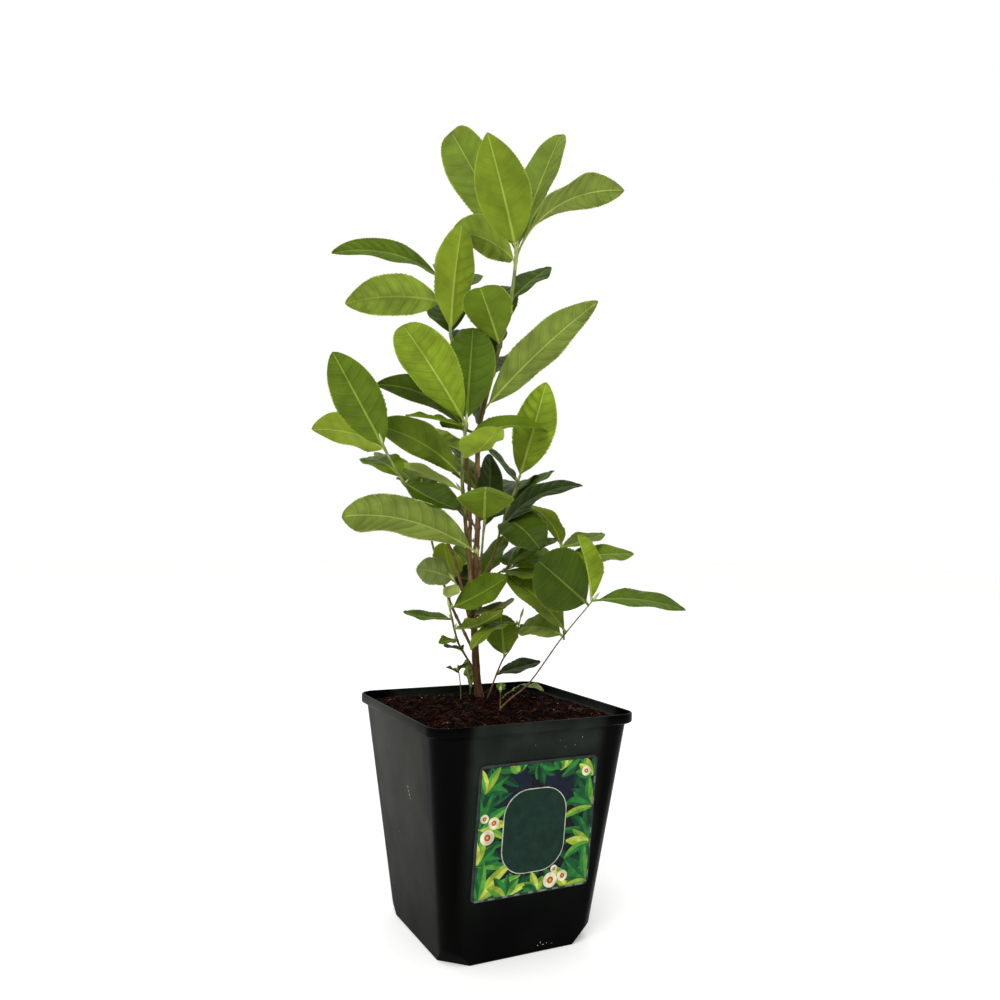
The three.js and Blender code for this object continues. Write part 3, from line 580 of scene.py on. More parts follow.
def leaf_skin(name, colour, roughness, relief, gloss, puckered=0):
    """A tea leaf's skin: faintly deeper and lighter patches over fine, slightly raised cells. The
    tone runs from -1 on the pale margin and 0 along a vein to 1 between two veins, and paints the
    puckering's light and shade into the colour: painted shade in the hollows by the veins and a
    painted highlight on the crests between them."""
    finish = {"Roughness": roughness, "Specular IOR Level": gloss, **FLESH}
    material, tree, shader, place = blank(name, finish)
    colours = [shaded(colour, 0.9), colour, shaded(colour, 1.07)]
    skin = mottled(tree, place, colours, PATCH_SIZE)
    tone = add(tree, "ShaderNodeAttribute", attribute_name="tone").outputs["Fac"]
    share = add(tree, "ShaderNodeMapRange", {"Value": tone, "From Min": -1}).outputs["Result"]
    # painted light and shade of the puckering, read from the tone and multiplied into the colour
    stops = [(at, [1 + light * puckered] * 3 + [1]) for at, light in PUCKERED_LIGHT]
    lights = add(tree, "ShaderNodeValToRGB", {"Fac": share}, stops).outputs["Color"]
    layers = {0: 1.0, 6: skin, 7: lights}
    lit = add(tree, "ShaderNodeMix", layers, data_type="RGBA", blend_type="MULTIPLY")
    tree.links.new(lit.outputs[2], shader.inputs["Base Color"])
    grid = {"Vector": place, "Scale": per(CELL_SIZE)}
    cells = add(tree, "ShaderNodeTexVoronoi", grid, feature="SMOOTH_F1").outputs["Distance"]
    rise = {"Height": cells, "Strength": relief, "Distance": CELL_DEPTH * MM}
    bump = add(tree, "ShaderNodeBump", rise, invert=True)
    tree.links.new(bump.outputs["Normal"], shader.inputs["Normal"])
    return material


LEAF_PARTS = ("blade", "vein", "rib", "under", "under_vein", "under_rib")
UNDER_PARTS = dict(zip(LEAF_PARTS[:3], LEAF_PARTS[3:]))


def leaf_materials(name, stage):
    """A tint's six skins, in the order of LEAF_PARTS: each has its colour, roughness, relief,
    gloss and puckering."""
    upper, puckered, rib = stage.colour, stage.puckered, stage.rib
    under = mixed(upper, UNDERSIDE, UNDER_BLOOM)
    vein = 0.04 + 0.1 * puckered
    skins = (
        (upper, 0.5, 0.3, 0.12, puckered),
        (mixed(upper, RIB, vein), 0.5, 0.1, 0.12),
        (mixed(upper, RIB, rib), 0.5, 0.1, 0.12),
        (under, 0.7, 0.25, 0.08, puckered),
        (mixed(under, RIB, vein), 0.7, 0.1, 0.08),
        (mixed(under, RIB, rib + 0.1), 0.65, 0.1, 0.08),
    )
    return [leaf_skin(f"leaf_{name}_{part}", *skin) for part, skin in zip(LEAF_PARTS, skins)]


LEAF_FINISHES = {name: leaf_materials(name, stage) for name, stage in TINTS.items()}
AGED = ((0, "#a7b36b"), (0.25, "#848f45"), (0.5, "#7d6834"), (0.75, "#9a7450"), (1, "#6e4c27"))
FLECK_STRETCH = 0.25  # below 1, the flecks are drawn out along the stem


def stem_material():
    """A tea stem's skin, by the tone, which is its age: downy green on a new shoot, then olive,
    then red-brown bark in long flecks, and dark brown with shallow cracks on the trunk."""
    finish = {"Roughness": 0.7, "Specular IOR Level": 0.2}
    material, tree, shader, place = blank("tea_stem_bark", finish)
    age = add(tree, "ShaderNodeAttribute", attribute_name="tone").outputs["Fac"]
    stops = [(at, linear(colour)) for at, colour in AGED]
    aged = add(tree, "ShaderNodeValToRGB", {"Fac": age}, stops).outputs["Color"]
    drawn_out = {"Vector": place, "Scale": (1, 1, FLECK_STRETCH)}
    along = add(tree, "ShaderNodeMapping", drawn_out).outputs["Vector"]
    flecks = mottled(tree, along, ["#a6a6a6", "#d2d2d2", "#ffffff"], size=2.2, detail=5)
    layers = {0: 1.0, 6: aged, 7: flecks}
    skin = add(tree, "ShaderNodeMix", layers, data_type="RGBA", blend_type="MULTIPLY")
    tree.links.new(skin.outputs[2], shader.inputs["Base Color"])
    grained(tree, shader, along, size=0.9, detail=4, strength=0.6, depth=0.3)
    return material


def plain_material(name, colours, size, finish):
    """A material whose colour only drifts in patches of a size in millimetres."""
    material, tree, shader, place = blank(name, finish)
    tree.links.new(mottled(tree, place, colours, size), shader.inputs["Base Color"])
    return material


def bud_material():
    """A young bud under silvery down."""
    finish = {"Roughness": 0.8, "Specular IOR Level": 0.2}
    return plain_material("downy_bud", ["#98a858", "#b0bd78", "#c8d09c"], 2.2, finish)


STEM_BARK = stem_material()
BUD = bud_material()


# ---------------------------------------------------------------- meshes


def new_piece(name, points, faces, materials, picks=None, smooth=True, sharp=None, tone=None):
    """A mesh object from points in millimetres. picks gives each face's material. sharp is a mark
    on each point: an edge is hard where both its ends have one mark, other than 0. tone is a
    number on each point that the material reads."""
    mesh = bpy.data.meshes.new(name)
    mesh.from_pydata((np.asarray(points) * MM).tolist(), [], faces)
    for material in materials:
        mesh.materials.append(material)
    if picks is not None:
        mesh.polygons.foreach_set("material_index", np.asarray(picks, np.int32))
    mesh.polygons.foreach_set("use_smooth", np.full(len(mesh.polygons), smooth))
    if sharp is not None:
        ends = np.empty(len(mesh.edges) * 2, np.int32)
        mesh.edges.foreach_get("vertices", ends)
        flags = np.asarray(sharp)[ends.reshape(-1, 2)]
        edges = (flags[:, 0] > 0) & (flags[:, 0] == flags[:, 1])
        mesh.attributes.new("sharp_edge", "BOOLEAN", "EDGE").data.foreach_set("value", edges)
    if tone is not None:
        mesh.attributes.new("tone", "FLOAT", "POINT").data.foreach_set("value", tone)
    mesh.update()
    piece = bpy.data.objects.new(name, mesh)
    bpy.context.collection.objects.link(piece)
    return piece


class Batch:
    """Points and faces of many small shapes that become one piece."""

    def __init__(self):
        self.points, self.faces, self.picks, self.sharp, self.tone = [], [], [], [], []
        self.count = 0

    def add(self, points, faces, picks, sharp=None, tone=None):
        """Adds one shape, given as to new_piece."""
        shift = self.count
        self.points.append(np.asarray(points))
        self.faces.extend([tuple(int(i) + shift for i in face) for face in faces])
        self.picks.extend(picks)
        self.sharp.append(np.zeros(len(points)) if sharp is None else sharp)
        self.tone.append(np.zeros(len(points)) if tone is None else tone)
        self.count += len(points)

    def add_loft(self, rings, pick=0):
        """Adds rings of points, joined into a closed skin."""
        faces = closed_loft(rings)
        self.add(np.array(rings).reshape(-1, 3), faces, [pick] * len(faces))

    def piece(self, name, materials):
        """The piece that all the shapes make."""
        sharp = np.concatenate(self.sharp)
        tone = np.concatenate(self.tone)
        points = np.vstack(self.points)
        return new_piece(name, points, self.faces, materials, self.picks, sharp=sharp, tone=tone)


def ring_faces(rings):
    """Faces between rings of equally many points, pointing outwards for rings that run
    anticlockwise seen from the last one's side."""
    count = len(rings[0])
    faces = []
    for ring in range(len(rings) - 1):
        for i in range(count):
            a = ring * count + i
            b = ring * count + (i + 1) % count
            faces.append((a, b, b + count, a + count))
    return faces


def closed_loft(rings):
    """The same faces, closed at both ends."""
    count = len(rings[0])
    last = (len(rings) - 1) * count
    return [*ring_faces(rings), tuple(range(count - 1, -1, -1)), tuple(range(last, last + count))]


# ---------------------------------------------------------------- leaf blades

BLADE_HALF_THICK = 0.17
COLUMN_SHARES = (0.22, 0.45, 0.68, 0.88, 1)  # columns from the rib's edge to the margin
BASE_ROW = 0.1
TIP_ROWS = 4
LARGE_LEAF = 30  # a longer leaf has more rows between two veins
VEIN_SPACING = 9
VEIN_COUNTS = (4, 9)
FIRST_VEIN = 0.14
VEINED_SHARE = 0.76
VEIN_CROWDING = 0.93  # below 1, the veins crowd a little towards the tip
VEIN_HALF = 0.4
VEIN_DEPTH = 0.12  # how far a vein stands out below
VEIN_SLANT = 0.45  # how far a vein reaches towards the tip, as a share of what is left of the blade
RIB_HALF = 0.3  # half the rib's width at the tip
RIB_WIDENS = 0.65  # what the base adds to that
RIB_DEPTH = 0.2  # how far the rib stands out below at the tip
RIB_DEEPENS = 0.6  # what the base adds to that
RIB_GROOVE = 0.12  # over the rib, on the upper side
RIB_SHARE = 0.55  # the most that the rib takes of a blade
STALK_ABOVE = 0.45  # what the stalk adds to the blade's half thickness above and below
STALK_BELOW = 0.35
TOOTH = 0.5
TOOTHED = (0.22, 0.97)  # the part of the margin that has teeth
RISE_REACH = 0.22  # how far from the rib the skin is fully raised, as a share of the blade


def leaf_rows(spec):
    """Where rows of points leave the midrib, the kind of band after each, and the blade's lift
    between two veins."""
    between = 5 if spec.length > LARGE_LEAF else 3
    veins = int(np.clip(round(spec.length / VEIN_SPACING), *VEIN_COUNTS))
    places = FIRST_VEIN + VEINED_SHARE * (np.arange(veins) / (veins - 1)) ** VEIN_CROWDING
    strip = VEIN_HALF / spec.length
    rows = [0, STALK_SHARE / 2, STALK_SHARE, BASE_ROW]
    kinds = ["stalk", "stalk", "blade", "blade"]
    lifts = [0] * len(rows)
    for i, place in enumerate(places):
        rows += [place - strip, place + strip]
        kinds += ["vein", "blade"]
        lifts += [0, 0]
        last = i + 1 == veins
        end = 1 if last else places[i + 1]
        parts = TIP_ROWS if last else between
        for part in range(1, parts + 1):
            share = part / (parts + 1)
            rows.append(place + strip + (end - place - 2 * strip) * share)
            kinds.append("blade")
            lifts.append(math.sin(math.pi * share))
    return np.array(rows), kinds, np.array(lifts)


def leaf_sheets(spec, root, seed, quilt, rows, kinds, lifts):
    """The blade's middle surface, as rows and columns of points from the rib to the margin, for
    its left and its right half: the points, the upward directions and the skin's tones."""
    rng = np.random.default_rng(seed)
    _, side, _ = leaf_axes(spec)
    fold = math.radians(spec.fold)

    rib_half = RIB_HALF + RIB_WIDENS * (1 - rows)
    row_half = np.maximum(blade_half(spec, rows), 1e-6)
    rib_share = np.minimum(rib_half / row_half, RIB_SHARE)
    shares = [np.zeros_like(rows), rib_share]
    shares += [rib_share + (1 - rib_share) * share for share in COLUMN_SHARES]
    across = np.array(shares).T  # row, column

    blade = np.clip((rows - STALK_SHARE) / (1 - STALK_SHARE), 0, 1)[:, None]
    slant = VEIN_SLANT * (1 - STALK_SHARE) * (1 - blade) * blade**0.6
    share_along = rows[:, None] + slant * (0.55 * across + 0.45 * across**3)
    half = blade_half(spec, share_along)
    middle, straight_up = leaf_line(spec, root, share_along)
    twist = math.radians(spec.twist) * np.clip(2 * share_along - 1, 0, 1) ** 1.5
    c, s = np.cos(twist[..., None]), np.sin(twist[..., None])
    reach = side * c + straight_up * s
    up = straight_up * c - side * s

    # How high the skin is raised in each cell between two veins, and how the margin waves.
    cell = np.cumsum([kind == "vein" for kind in kinds])
    growth = 0.7 + 0.6 * rng.random((2, cell.max() + 1))
    waves = 0.5 + 1.1 * rng.random(2)
    phases = rng.random(2) * 2 * math.pi
    cycles = 1.5 + 1.5 * rng.random(2)
    first, last = TOOTHED
    toothed = np.array([i % 2 for i in range(len(rows))]) * (rows > first) * (rows < last)
    spread = across.copy()
    spread[:, -1] += toothed * TOOTH / np.maximum(row_half, 2)
    window = np.clip((across - across[:, 1:2]) / RISE_REACH, 0, 1) * (1 - 0.6 * across**4)

    sheets = []
    for which, sign in enumerate((1, -1)):
        # the tone follows the skin's rise between two veins and is -1 on the margin; the leaf's material
        # paints light and shade by it
        tone = (lifts * growth[which][cell])[:, None] * window
        tone[:, -1] = -1
        lift = quilt * np.maximum(tone, 0)
        margin = waves[which] * across**3 * np.sin(math.pi * share_along)
        lift = lift + margin * np.sin(2 * math.pi * cycles[which] * share_along + phases[which])
        rise = spread * half * math.sin(fold) + lift
        run = sign * spread * half * math.cos(fold)
        sheets.append((middle + reach * run[..., None] + up * rise[..., None], up, tone))
    return sheets


def leaf_mesh(spec, root, seed, quilt):
    """One leaf: a closed blade with a round stalk, a rib standing out below, slanting veins
    with the skin raised between them, a toothed and slightly waving margin."""
    rows, kinds, lifts = leaf_rows(spec)
    sheets = leaf_sheets(spec, root, seed, quilt, rows, kinds, lifts)
    stalk = np.clip(1 - rows / (STALK_SHARE * 1.4), 0, 1)
    count = len(COLUMN_SHARES) + 2
    outwards, inwards = range(1, count - 1), range(count - 2, 0, -1)
    ring_points, ring_tones = [], []
    for r in range(len(rows)):
        (left, up_left, left_tone), (right, up_right, right_tone) = (
            [part[r] for part in sheet] for sheet in sheets
        )
        above = BLADE_HALF_THICK + STALK_ABOVE * stalk[r]
        below = BLADE_HALF_THICK + STALK_BELOW * stalk[r]
        groove = RIB_GROOVE * (1 - stalk[r])
        ridge = (RIB_DEPTH + RIB_DEEPENS * (1 - rows[r])) * (1 - 0.5 * stalk[r])
        on_vein = kinds[r] == "vein" or (r and kinds[r - 1] == "vein")
        under = below + (VEIN_DEPTH if on_vein else 0)
        ring = [left[-1]]
        ring += [left[c] + up_left[c] * above for c in inwards]
        ring.append(left[0] + up_left[0] * (above - groove))
        ring += [right[c] + up_right[c] * above for c in outwards]
        ring.append(right[-1])
        ring += [right[c] - up_right[c] * under for c in inwards]
        ring.append(left[0] - up_left[0] * (below + ridge))
        ring += [left[c] - up_left[c] * under for c in outwards]
        ring_points.append(ring)
        over_tones = [*left_tone[::-1], *right_tone[1:]]
        ring_tones.append([*over_tones, *right_tone[-2:0:-1], *left_tone[:-1]])
    tip, _ = leaf_line(spec, root, 1.0)

    size = len(ring_points[0])
    half_size = size // 2
    flags = np.zeros((len(rows), size))
    flags[:, 0], flags[:, half_size] = 1, 2
    faces, picks = [], []
    parts = {part: i for i, part in enumerate(LEAF_PARTS)}
    for r in range(len(rows) - 1):
        for i in range(size):
            a = r * size + i
            b = r * size + (i + 1) % size
            faces.append((a, a + size, b + size, b))
            from_middle = abs(i % half_size - (count - 1) + 0.5)
            part = "rib" if kinds[r] == "stalk" or from_middle < 1 else kinds[r]
            picks.append(parts[part if i < half_size else UNDER_PARTS[part]])
    last = (len(rows) - 1) * size
    end = len(rows) * size
    for i in range(size):
        faces.append((last + i, end, last + (i + 1) % size))
        picks.append(parts["blade" if i < half_size else "under"])
    faces.append(tuple(range(size)))
    picks.append(parts["rib"])
    points = np.vstack([np.array(ring_points).reshape(-1, 3), tip[None]])
    return points, faces, picks, [*flags.ravel(), 0], [*np.ravel(ring_tones), -1]


UPPER_MASSES = ("leader_top_leaves", "left_rear_leaves", "middle_leaves", "left_leaves")


def leaf_slot(name):
    """The slot name for a mass's leaves: young, upper or lower."""
    if "sprout" in name:
        return "young_leaves"
    return "upper_leaves" if name in UPPER_MASSES else "lower_leaves"


for number, (name, mass) in enumerate(MASSES.items()):
    batch = Batch()
    tints = sorted({spec.tint for spec in mass.leaves})
    finishes = [material for tint in tints for material in LEAF_FINISHES[tint]]
    for i, spec in enumerate(mass.leaves):
        seed = 100 * number + i
        points, faces, picks, *marks = leaf_mesh(spec, root_of(mass, spec), seed, TINTS[spec.tint].quilt)
        shift = tints.index(spec.tint) * len(LEAF_PARTS)
        batch.add(points, faces, [pick + shift for pick in picks], *marks)
    new_name = name.replace("_leaves", "_leaf_blades").replace("_leaf", "_tea_leaf", 1)
    piece = batch.piece(new_name, finishes)
    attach(piece, "root")
    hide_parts(name)

# ---------------------------------------------------------------- stems

BARK_STEP = 1.1  # length between two rings of a barked limb
TWIG_STEP = 1.6
# A ridge and a finer crack of the skin: a larger round puts more of them round the stem, length
# is that of one, and height is a crack's beside a ridge's.
RIDGE = SimpleNamespace(round=1.8, length=5)
CRACK = SimpleNamespace(round=4, length=1.6, height=0.5)


def stem_frames(points):
    """Two directions across the stem at each point, carried along without twist."""
    tangents = np.gradient(points, axis=0)
    tangents /= np.linalg.norm(tangents, axis=1)[:, None]
    across = np.cross([0.0, 1.0, 0.0], tangents[0])
    across /= np.linalg.norm(across)
    sides = []
    for tangent in tangents:
        across = across - tangent * across.dot(tangent)
        across /= np.linalg.norm(across)
        sides.append(across)
    sides = np.array(sides)
    return sides, np.cross(tangents, sides)


def stem_mesh(points, radii, sides, relief, pick, tone=0):
    """A closed, tapering stem whose skin is pushed in and out into long ridges."""
    first, second = stem_frames(points)
    rings = []
    travelled = np.concatenate([[0], np.cumsum(np.linalg.norm(np.diff(points, axis=0), axis=1))])
    for point, radius, u, v, run in zip(points, radii, first, second, travelled):
        ring = []
        for i in range(sides):
            angle = 2 * math.pi * i / sides
            c, s = math.cos(angle), math.sin(angle)
            ridge = Vector((c * RIDGE.round, s * RIDGE.round, run / RIDGE.length))
            crack = Vector((c * CRACK.round, s * CRACK.round, run / CRACK.length))
            skin = noise.noise(ridge + Vector(points[0])) + CRACK.height * noise.noise(crack)
            reach = radius * (1 + relief * skin)
            ring.append(point + u * reach * c + v * reach * s)
        rings.append(ring)
    faces = closed_loft(rings)
    tones = np.repeat(np.broadcast_to(tone, len(points)), sides)
    return np.array(rings).reshape(-1, 3), faces, [pick] * len(faces), None, tones


def run_of(path, start, end, step, sunk):
    """Points and shares along a route, led back into the limb that it grows from."""
    length = path.length * (end - start)
    count = max(3, round(length / step))
    shares = np.linspace(start, end, count + 1)
    points = path.at(shares)
    if sunk:
        back = points[0] - points[1]
        back /= np.linalg.norm(back)
        points = np.vstack([points[0] + back * sunk, points])
        shares = np.concatenate([[start], shares])
    return points, shares


FLARE = 0.2
FLARE_HEIGHT = 7
KNUCKLE = 0.45
KNUCKLE_HEIGHT = 5


def trunk_width(height):
    """The trunk's width beside its route's, with its root flare at the soil and its knuckle
    under the fork."""
    flare = FLARE * np.exp(-(height - FOOT_LEVEL) / FLARE_HEIGHT)
    knuckle = KNUCKLE * np.exp(-(FORK_LEVEL - height) / KNUCKLE_HEIGHT)
    return 1 + flare + knuckle


# The boughs that have bark, with the share of each route that its bark covers.
BOUGHS = {
    "leader": 0.43,
    "left_rear": 0.74,
    "middle": 0.62,
    "front": 0.6,
    "left": 0.68,
    "right": 0.5,
    "low_right": 0.62,
    "low_middle": 0.24,
    "rear": 0.4,
    "rear_left": 0.4,
}
NODE_SPACING = 13  # length between two leaf scars on a bare bough
SCAR_SWELL = 0.3
SUNK = 4  # how far a limb is led back into the one that it grows from
SIDE_SUNK = 1.5  # the same where it only goes on along its own bough
TRUNK_SUNK = 2
TRUNK_SIDES = 20
LIMB_SIDES = 12
TWIG_SIDES = 10
TRUNK_RELIEF = 0.13
BOUGH_RELIEF = 0.07
TWIG_RELIEF = 0.06

# A limb's girth beside that of its solid, and how late along it the bark turns green.
GIRTH = {
    "leader": 1.4,
    "left_rear": 1.15,
    "middle": 1.3,
    "low_right": 0.6,
    "low_middle": 0.65,
    "thin_sprout": 0.6,
    "tiny_sprout": 0.8,
}
RIPENING = {"leader": 1.7, "low_right": 3, "low_middle": 3}


def age_of(name, shares):
    """The tone of a limb's skin along it: 0 for a new shoot, 1 for old bark."""
    if name == "trunk":
        return np.ones_like(shares)
    if "sprout" in name:
        return np.full_like(shares, 0.3)
    return 0.82 * (1 - shares ** RIPENING.get(name, 1.1))


# The rounded stub of a stem lost early, beside the fork.
STUB = np.array([[-2, 26, 191], [-3.4, 25, 192.2], [-4.8, 24, 192.8], [-6, 23.2, 192.6]])
STUB_RADII = np.array([1.8, 2.3, 2.1, 0.7])
STUB_RELIEF = 0.1
STUB_AGE = 0.42

bark = Batch()
points, shares = run_of(ROUTES["trunk"], 0, 1, BARK_STEP, TRUNK_SUNK)
radii = ROUTES["trunk"].radius(shares) * trunk_width(points[:, 2])
bark.add(*stem_mesh(points, radii, TRUNK_SIDES, TRUNK_RELIEF, 0, age_of("trunk", shares)))
for name, end in BOUGHS.items():
    path = ROUTES[name]
    points, shares = run_of(path, 0, end, BARK_STEP, SUNK)
    run = shares * path.length
    scars = SCAR_SWELL * np.exp(-(((run % NODE_SPACING) - NODE_SPACING / 2) ** 2))
    radii = path.radius(shares) * GIRTH.get(name, 1) * (1 + scars)
    bark.add(*stem_mesh(points, radii, LIMB_SIDES, BOUGH_RELIEF, 0, age_of(name, shares)))
bark.add(*stem_mesh(STUB, STUB_RADII, LIMB_SIDES, STUB_RELIEF, 0, STUB_AGE))
trunk_piece = bark.piece("tea_bark_limbs", [STEM_BARK])
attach(trunk_piece, "root")
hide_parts("trunk", *[f"{name}_bough" for name in BOUGHS])

# A bud's width at shares of its length.
BUD_SHARES = np.array([0, 0.15, 0.4, 0.65, 0.85, 1])
BUD_WIDTHS = np.array([0.5, 0.9, 1, 0.75, 0.35, 0.05])
BUD_SIDES = 7
TWIG_PICK = 0  # which of the twigs' two materials is bark
BUD_PICK = 1


def bud_mesh(root, direction, length, girth):
    """A pointed bud."""
    points = root + np.outer(BUD_SHARES * length, direction)
    return stem_mesh(points, girth * BUD_WIDTHS, BUD_SIDES, 0.05, BUD_PICK)


JOINT_SWELL = 0.3  # how much a twig swells where a leaf stands on it
JOINT_HALF = 1.2  # half the length of that swelling
MOST_SWELL = 0.45
twigs = Batch()
for name, mass in MASSES.items():
    limb = mass.route
    path = ROUTES[limb]
    sunk = SUNK if mass.start == 0 else SIDE_SUNK
    points, shares = run_of(path, mass.start, mass.end, TWIG_STEP, sunk)
    swell = np.zeros_like(shares)
    for spec in mass.leaves:
        swell += JOINT_SWELL * np.exp(-(((shares - spec.at) * path.length / JOINT_HALF) ** 2))
    radii = path.radius(shares) * GIRTH.get(limb, 1) * (1 + np.minimum(swell, MOST_SWELL))
    twigs.add(*stem_mesh(points, radii, TWIG_SIDES, TWIG_RELIEF, TWIG_PICK, age_of(limb, shares)))
    for spec in mass.leaves:
        chord, _, _ = leaf_axes(spec)
        reach = path.radius(spec.at)
        lean = chord * 0.6 + np.array([0, 0, 0.8])
        lean /= np.linalg.norm(lean)
        foot = root_of(mass, spec) + lean * reach * 0.6 + chord * reach * 0.8
        twigs.add(*bud_mesh(foot, lean, length=3.2, girth=0.65))
    if mass.end == 1:
        tip = path.at(1)[0]
        way = tip - path.at(0.97)[0]
        way /= np.linalg.norm(way)
        length = 3.5 if "sprout" in name else 7
        twigs.add(*bud_mesh(tip - way * 0.6, way, length, girth=0.9))
twig_piece = twigs.piece("tea_twigs", [STEM_BARK, BUD])
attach(twig_piece, "root")

# ---------------------------------------------------------------- pot

RIM_HALF = 67
BAND_HEIGHT = 6.6
BODY_TOP_HALF = 64
FOOT_HALF = 48
CORNER_RADIUS = 12
WALL = 1.3
FLOOR = 1.8
CORNER_CUT = 15
CORNER_CUT_HEIGHT = 9
CORNER_CUT_RUN = 0.62  # how far the bevel leans out over its height, as a share of its depth
DRAIN_RADIUS = 4
DRAIN_FROM_CENTRE = 24
DRAIN_SIDES = 24
DRAIN_REACH = 5  # how far a drain's cutter stands above and below the foot
BODY_TOP = POT_HEIGHT - BAND_HEIGHT
CORNER_STEPS = 10


def body_half(z):
    """Half the width of the pot's tapered body at a height."""
    return FOOT_HALF + (BODY_TOP_HALF - FOOT_HALF) * z / BODY_TOP


def rounded_outline(width, height, radius, steps=6, centre=(0, 0)):
    """A rectangle with rounded corners, anticlockwise."""
    outline = []
    for corner, (sx, sy) in enumerate(((1, 1), (-1, 1), (-1, -1), (1, -1))):
        for step in range(steps + 1):
            angle = (corner + step / steps) * math.pi / 2
            u = centre[0] + sx * (width / 2 - radius) + radius * math.cos(angle)
            w = centre[1] + sy * (height / 2 - radius) + radius * math.sin(angle)
            outline.append((u, w))
    return outline


def square_ring(half, radius, z):
    """A square ring with rounded corners, at one height."""
    return [(x, y, z) for x, y in rounded_outline(2 * half, 2 * half, radius, CORNER_STEPS)]


def loft_piece(name, rings, material):
    """A piece that is one closed skin over rings of points."""
    return new_piece(name, np.array(rings).reshape(-1, 3), closed_loft(rings), [material])


def corner_wedge(corner, shift):
    """The prism that bevels one foot corner, as points from the front end to the back."""
    diagonal = CORNER_CUT / math.sqrt(2)
    foot = FOOT_HALF * math.sqrt(2) - diagonal - shift
    run = diagonal * CORNER_CUT_RUN
    far = FOOT_HALF * 2
    slope = (far - foot) * CORNER_CUT_HEIGHT / run
    outline = [
        (foot - run, -CORNER_CUT_HEIGHT),
        (far, -CORNER_CUT_HEIGHT),
        (far, slope),
        (foot, 0),
    ]
    turn = Matrix.Rotation(math.pi / 4 + corner * math.pi / 2, 3, "Z")
    ends = []
    for y in (FOOT_HALF, -FOOT_HALF):
        ends.append([tuple(turn @ Vector((x, y, z))) for x, z in outline])
    return ends


def cutters(shift, drains):
    """The shapes cut from the pot's foot: four corner bevels, and its drain holes if asked."""
    batch = Batch()
    for corner in range(4):
        batch.add_loft(corner_wedge(corner, shift))
    places = [-DRAIN_FROM_CENTRE, DRAIN_FROM_CENTRE] if drains else []
    turns = np.linspace(0, 2 * math.pi, DRAIN_SIDES, endpoint=False)
    for x in places:
        for y in places:
            circle = [(x + DRAIN_RADIUS * math.cos(t), y + DRAIN_RADIUS * math.sin(t)) for t in turns]
            batch.add_loft([[(u, w, z) for u, w in circle] for z in (-DRAIN_REACH, DRAIN_REACH)])
    return batch.piece("foot_cutters", [])


def cut(piece, tool):
    """Takes the tool's shape out of the piece, and the tool out of the scene."""
    modifier = piece.modifiers.new("cut", "BOOLEAN")
    modifier.operation = "DIFFERENCE"
    modifier.solver = "EXACT"
    modifier.object = tool
    evaluated = piece.evaluated_get(bpy.context.evaluated_depsgraph_get())
    mesh = bpy.data.meshes.new_from_object(evaluated)
    piece.modifiers.remove(modifier)
    piece.data = mesh
    bpy.data.objects.remove(tool)


def smooth_by_angle(mesh, angle):
    """Smooth faces, with a hard edge wherever two faces meet at more than this angle."""
    work = bmesh.new()
    work.from_mesh(mesh)
    for face in work.faces:
        face.smooth = True
    for edge in work.edges:
        edge.smooth = len(edge.link_faces) == 2 and edge.calc_face_angle(0) < math.radians(angle)
    work.to_mesh(mesh)
    work.free()


DUST_ENDS = (47, 37)  # from a wall's middle: where its dust and painted reflection end, leaving the corners dark as painted shade, and where full
DUST_HEIGHTS = (25, 125)  # where the dust and painted reflection are thinnest and where full: painted lighter towards the rim
LEFT_WALL = (-40, -48)  # where the left wall's warmer film, dust and painted light from the left, begins and where full
SHEEN_HEIGHTS = (0, 130)
WEAR_SIZE = 18


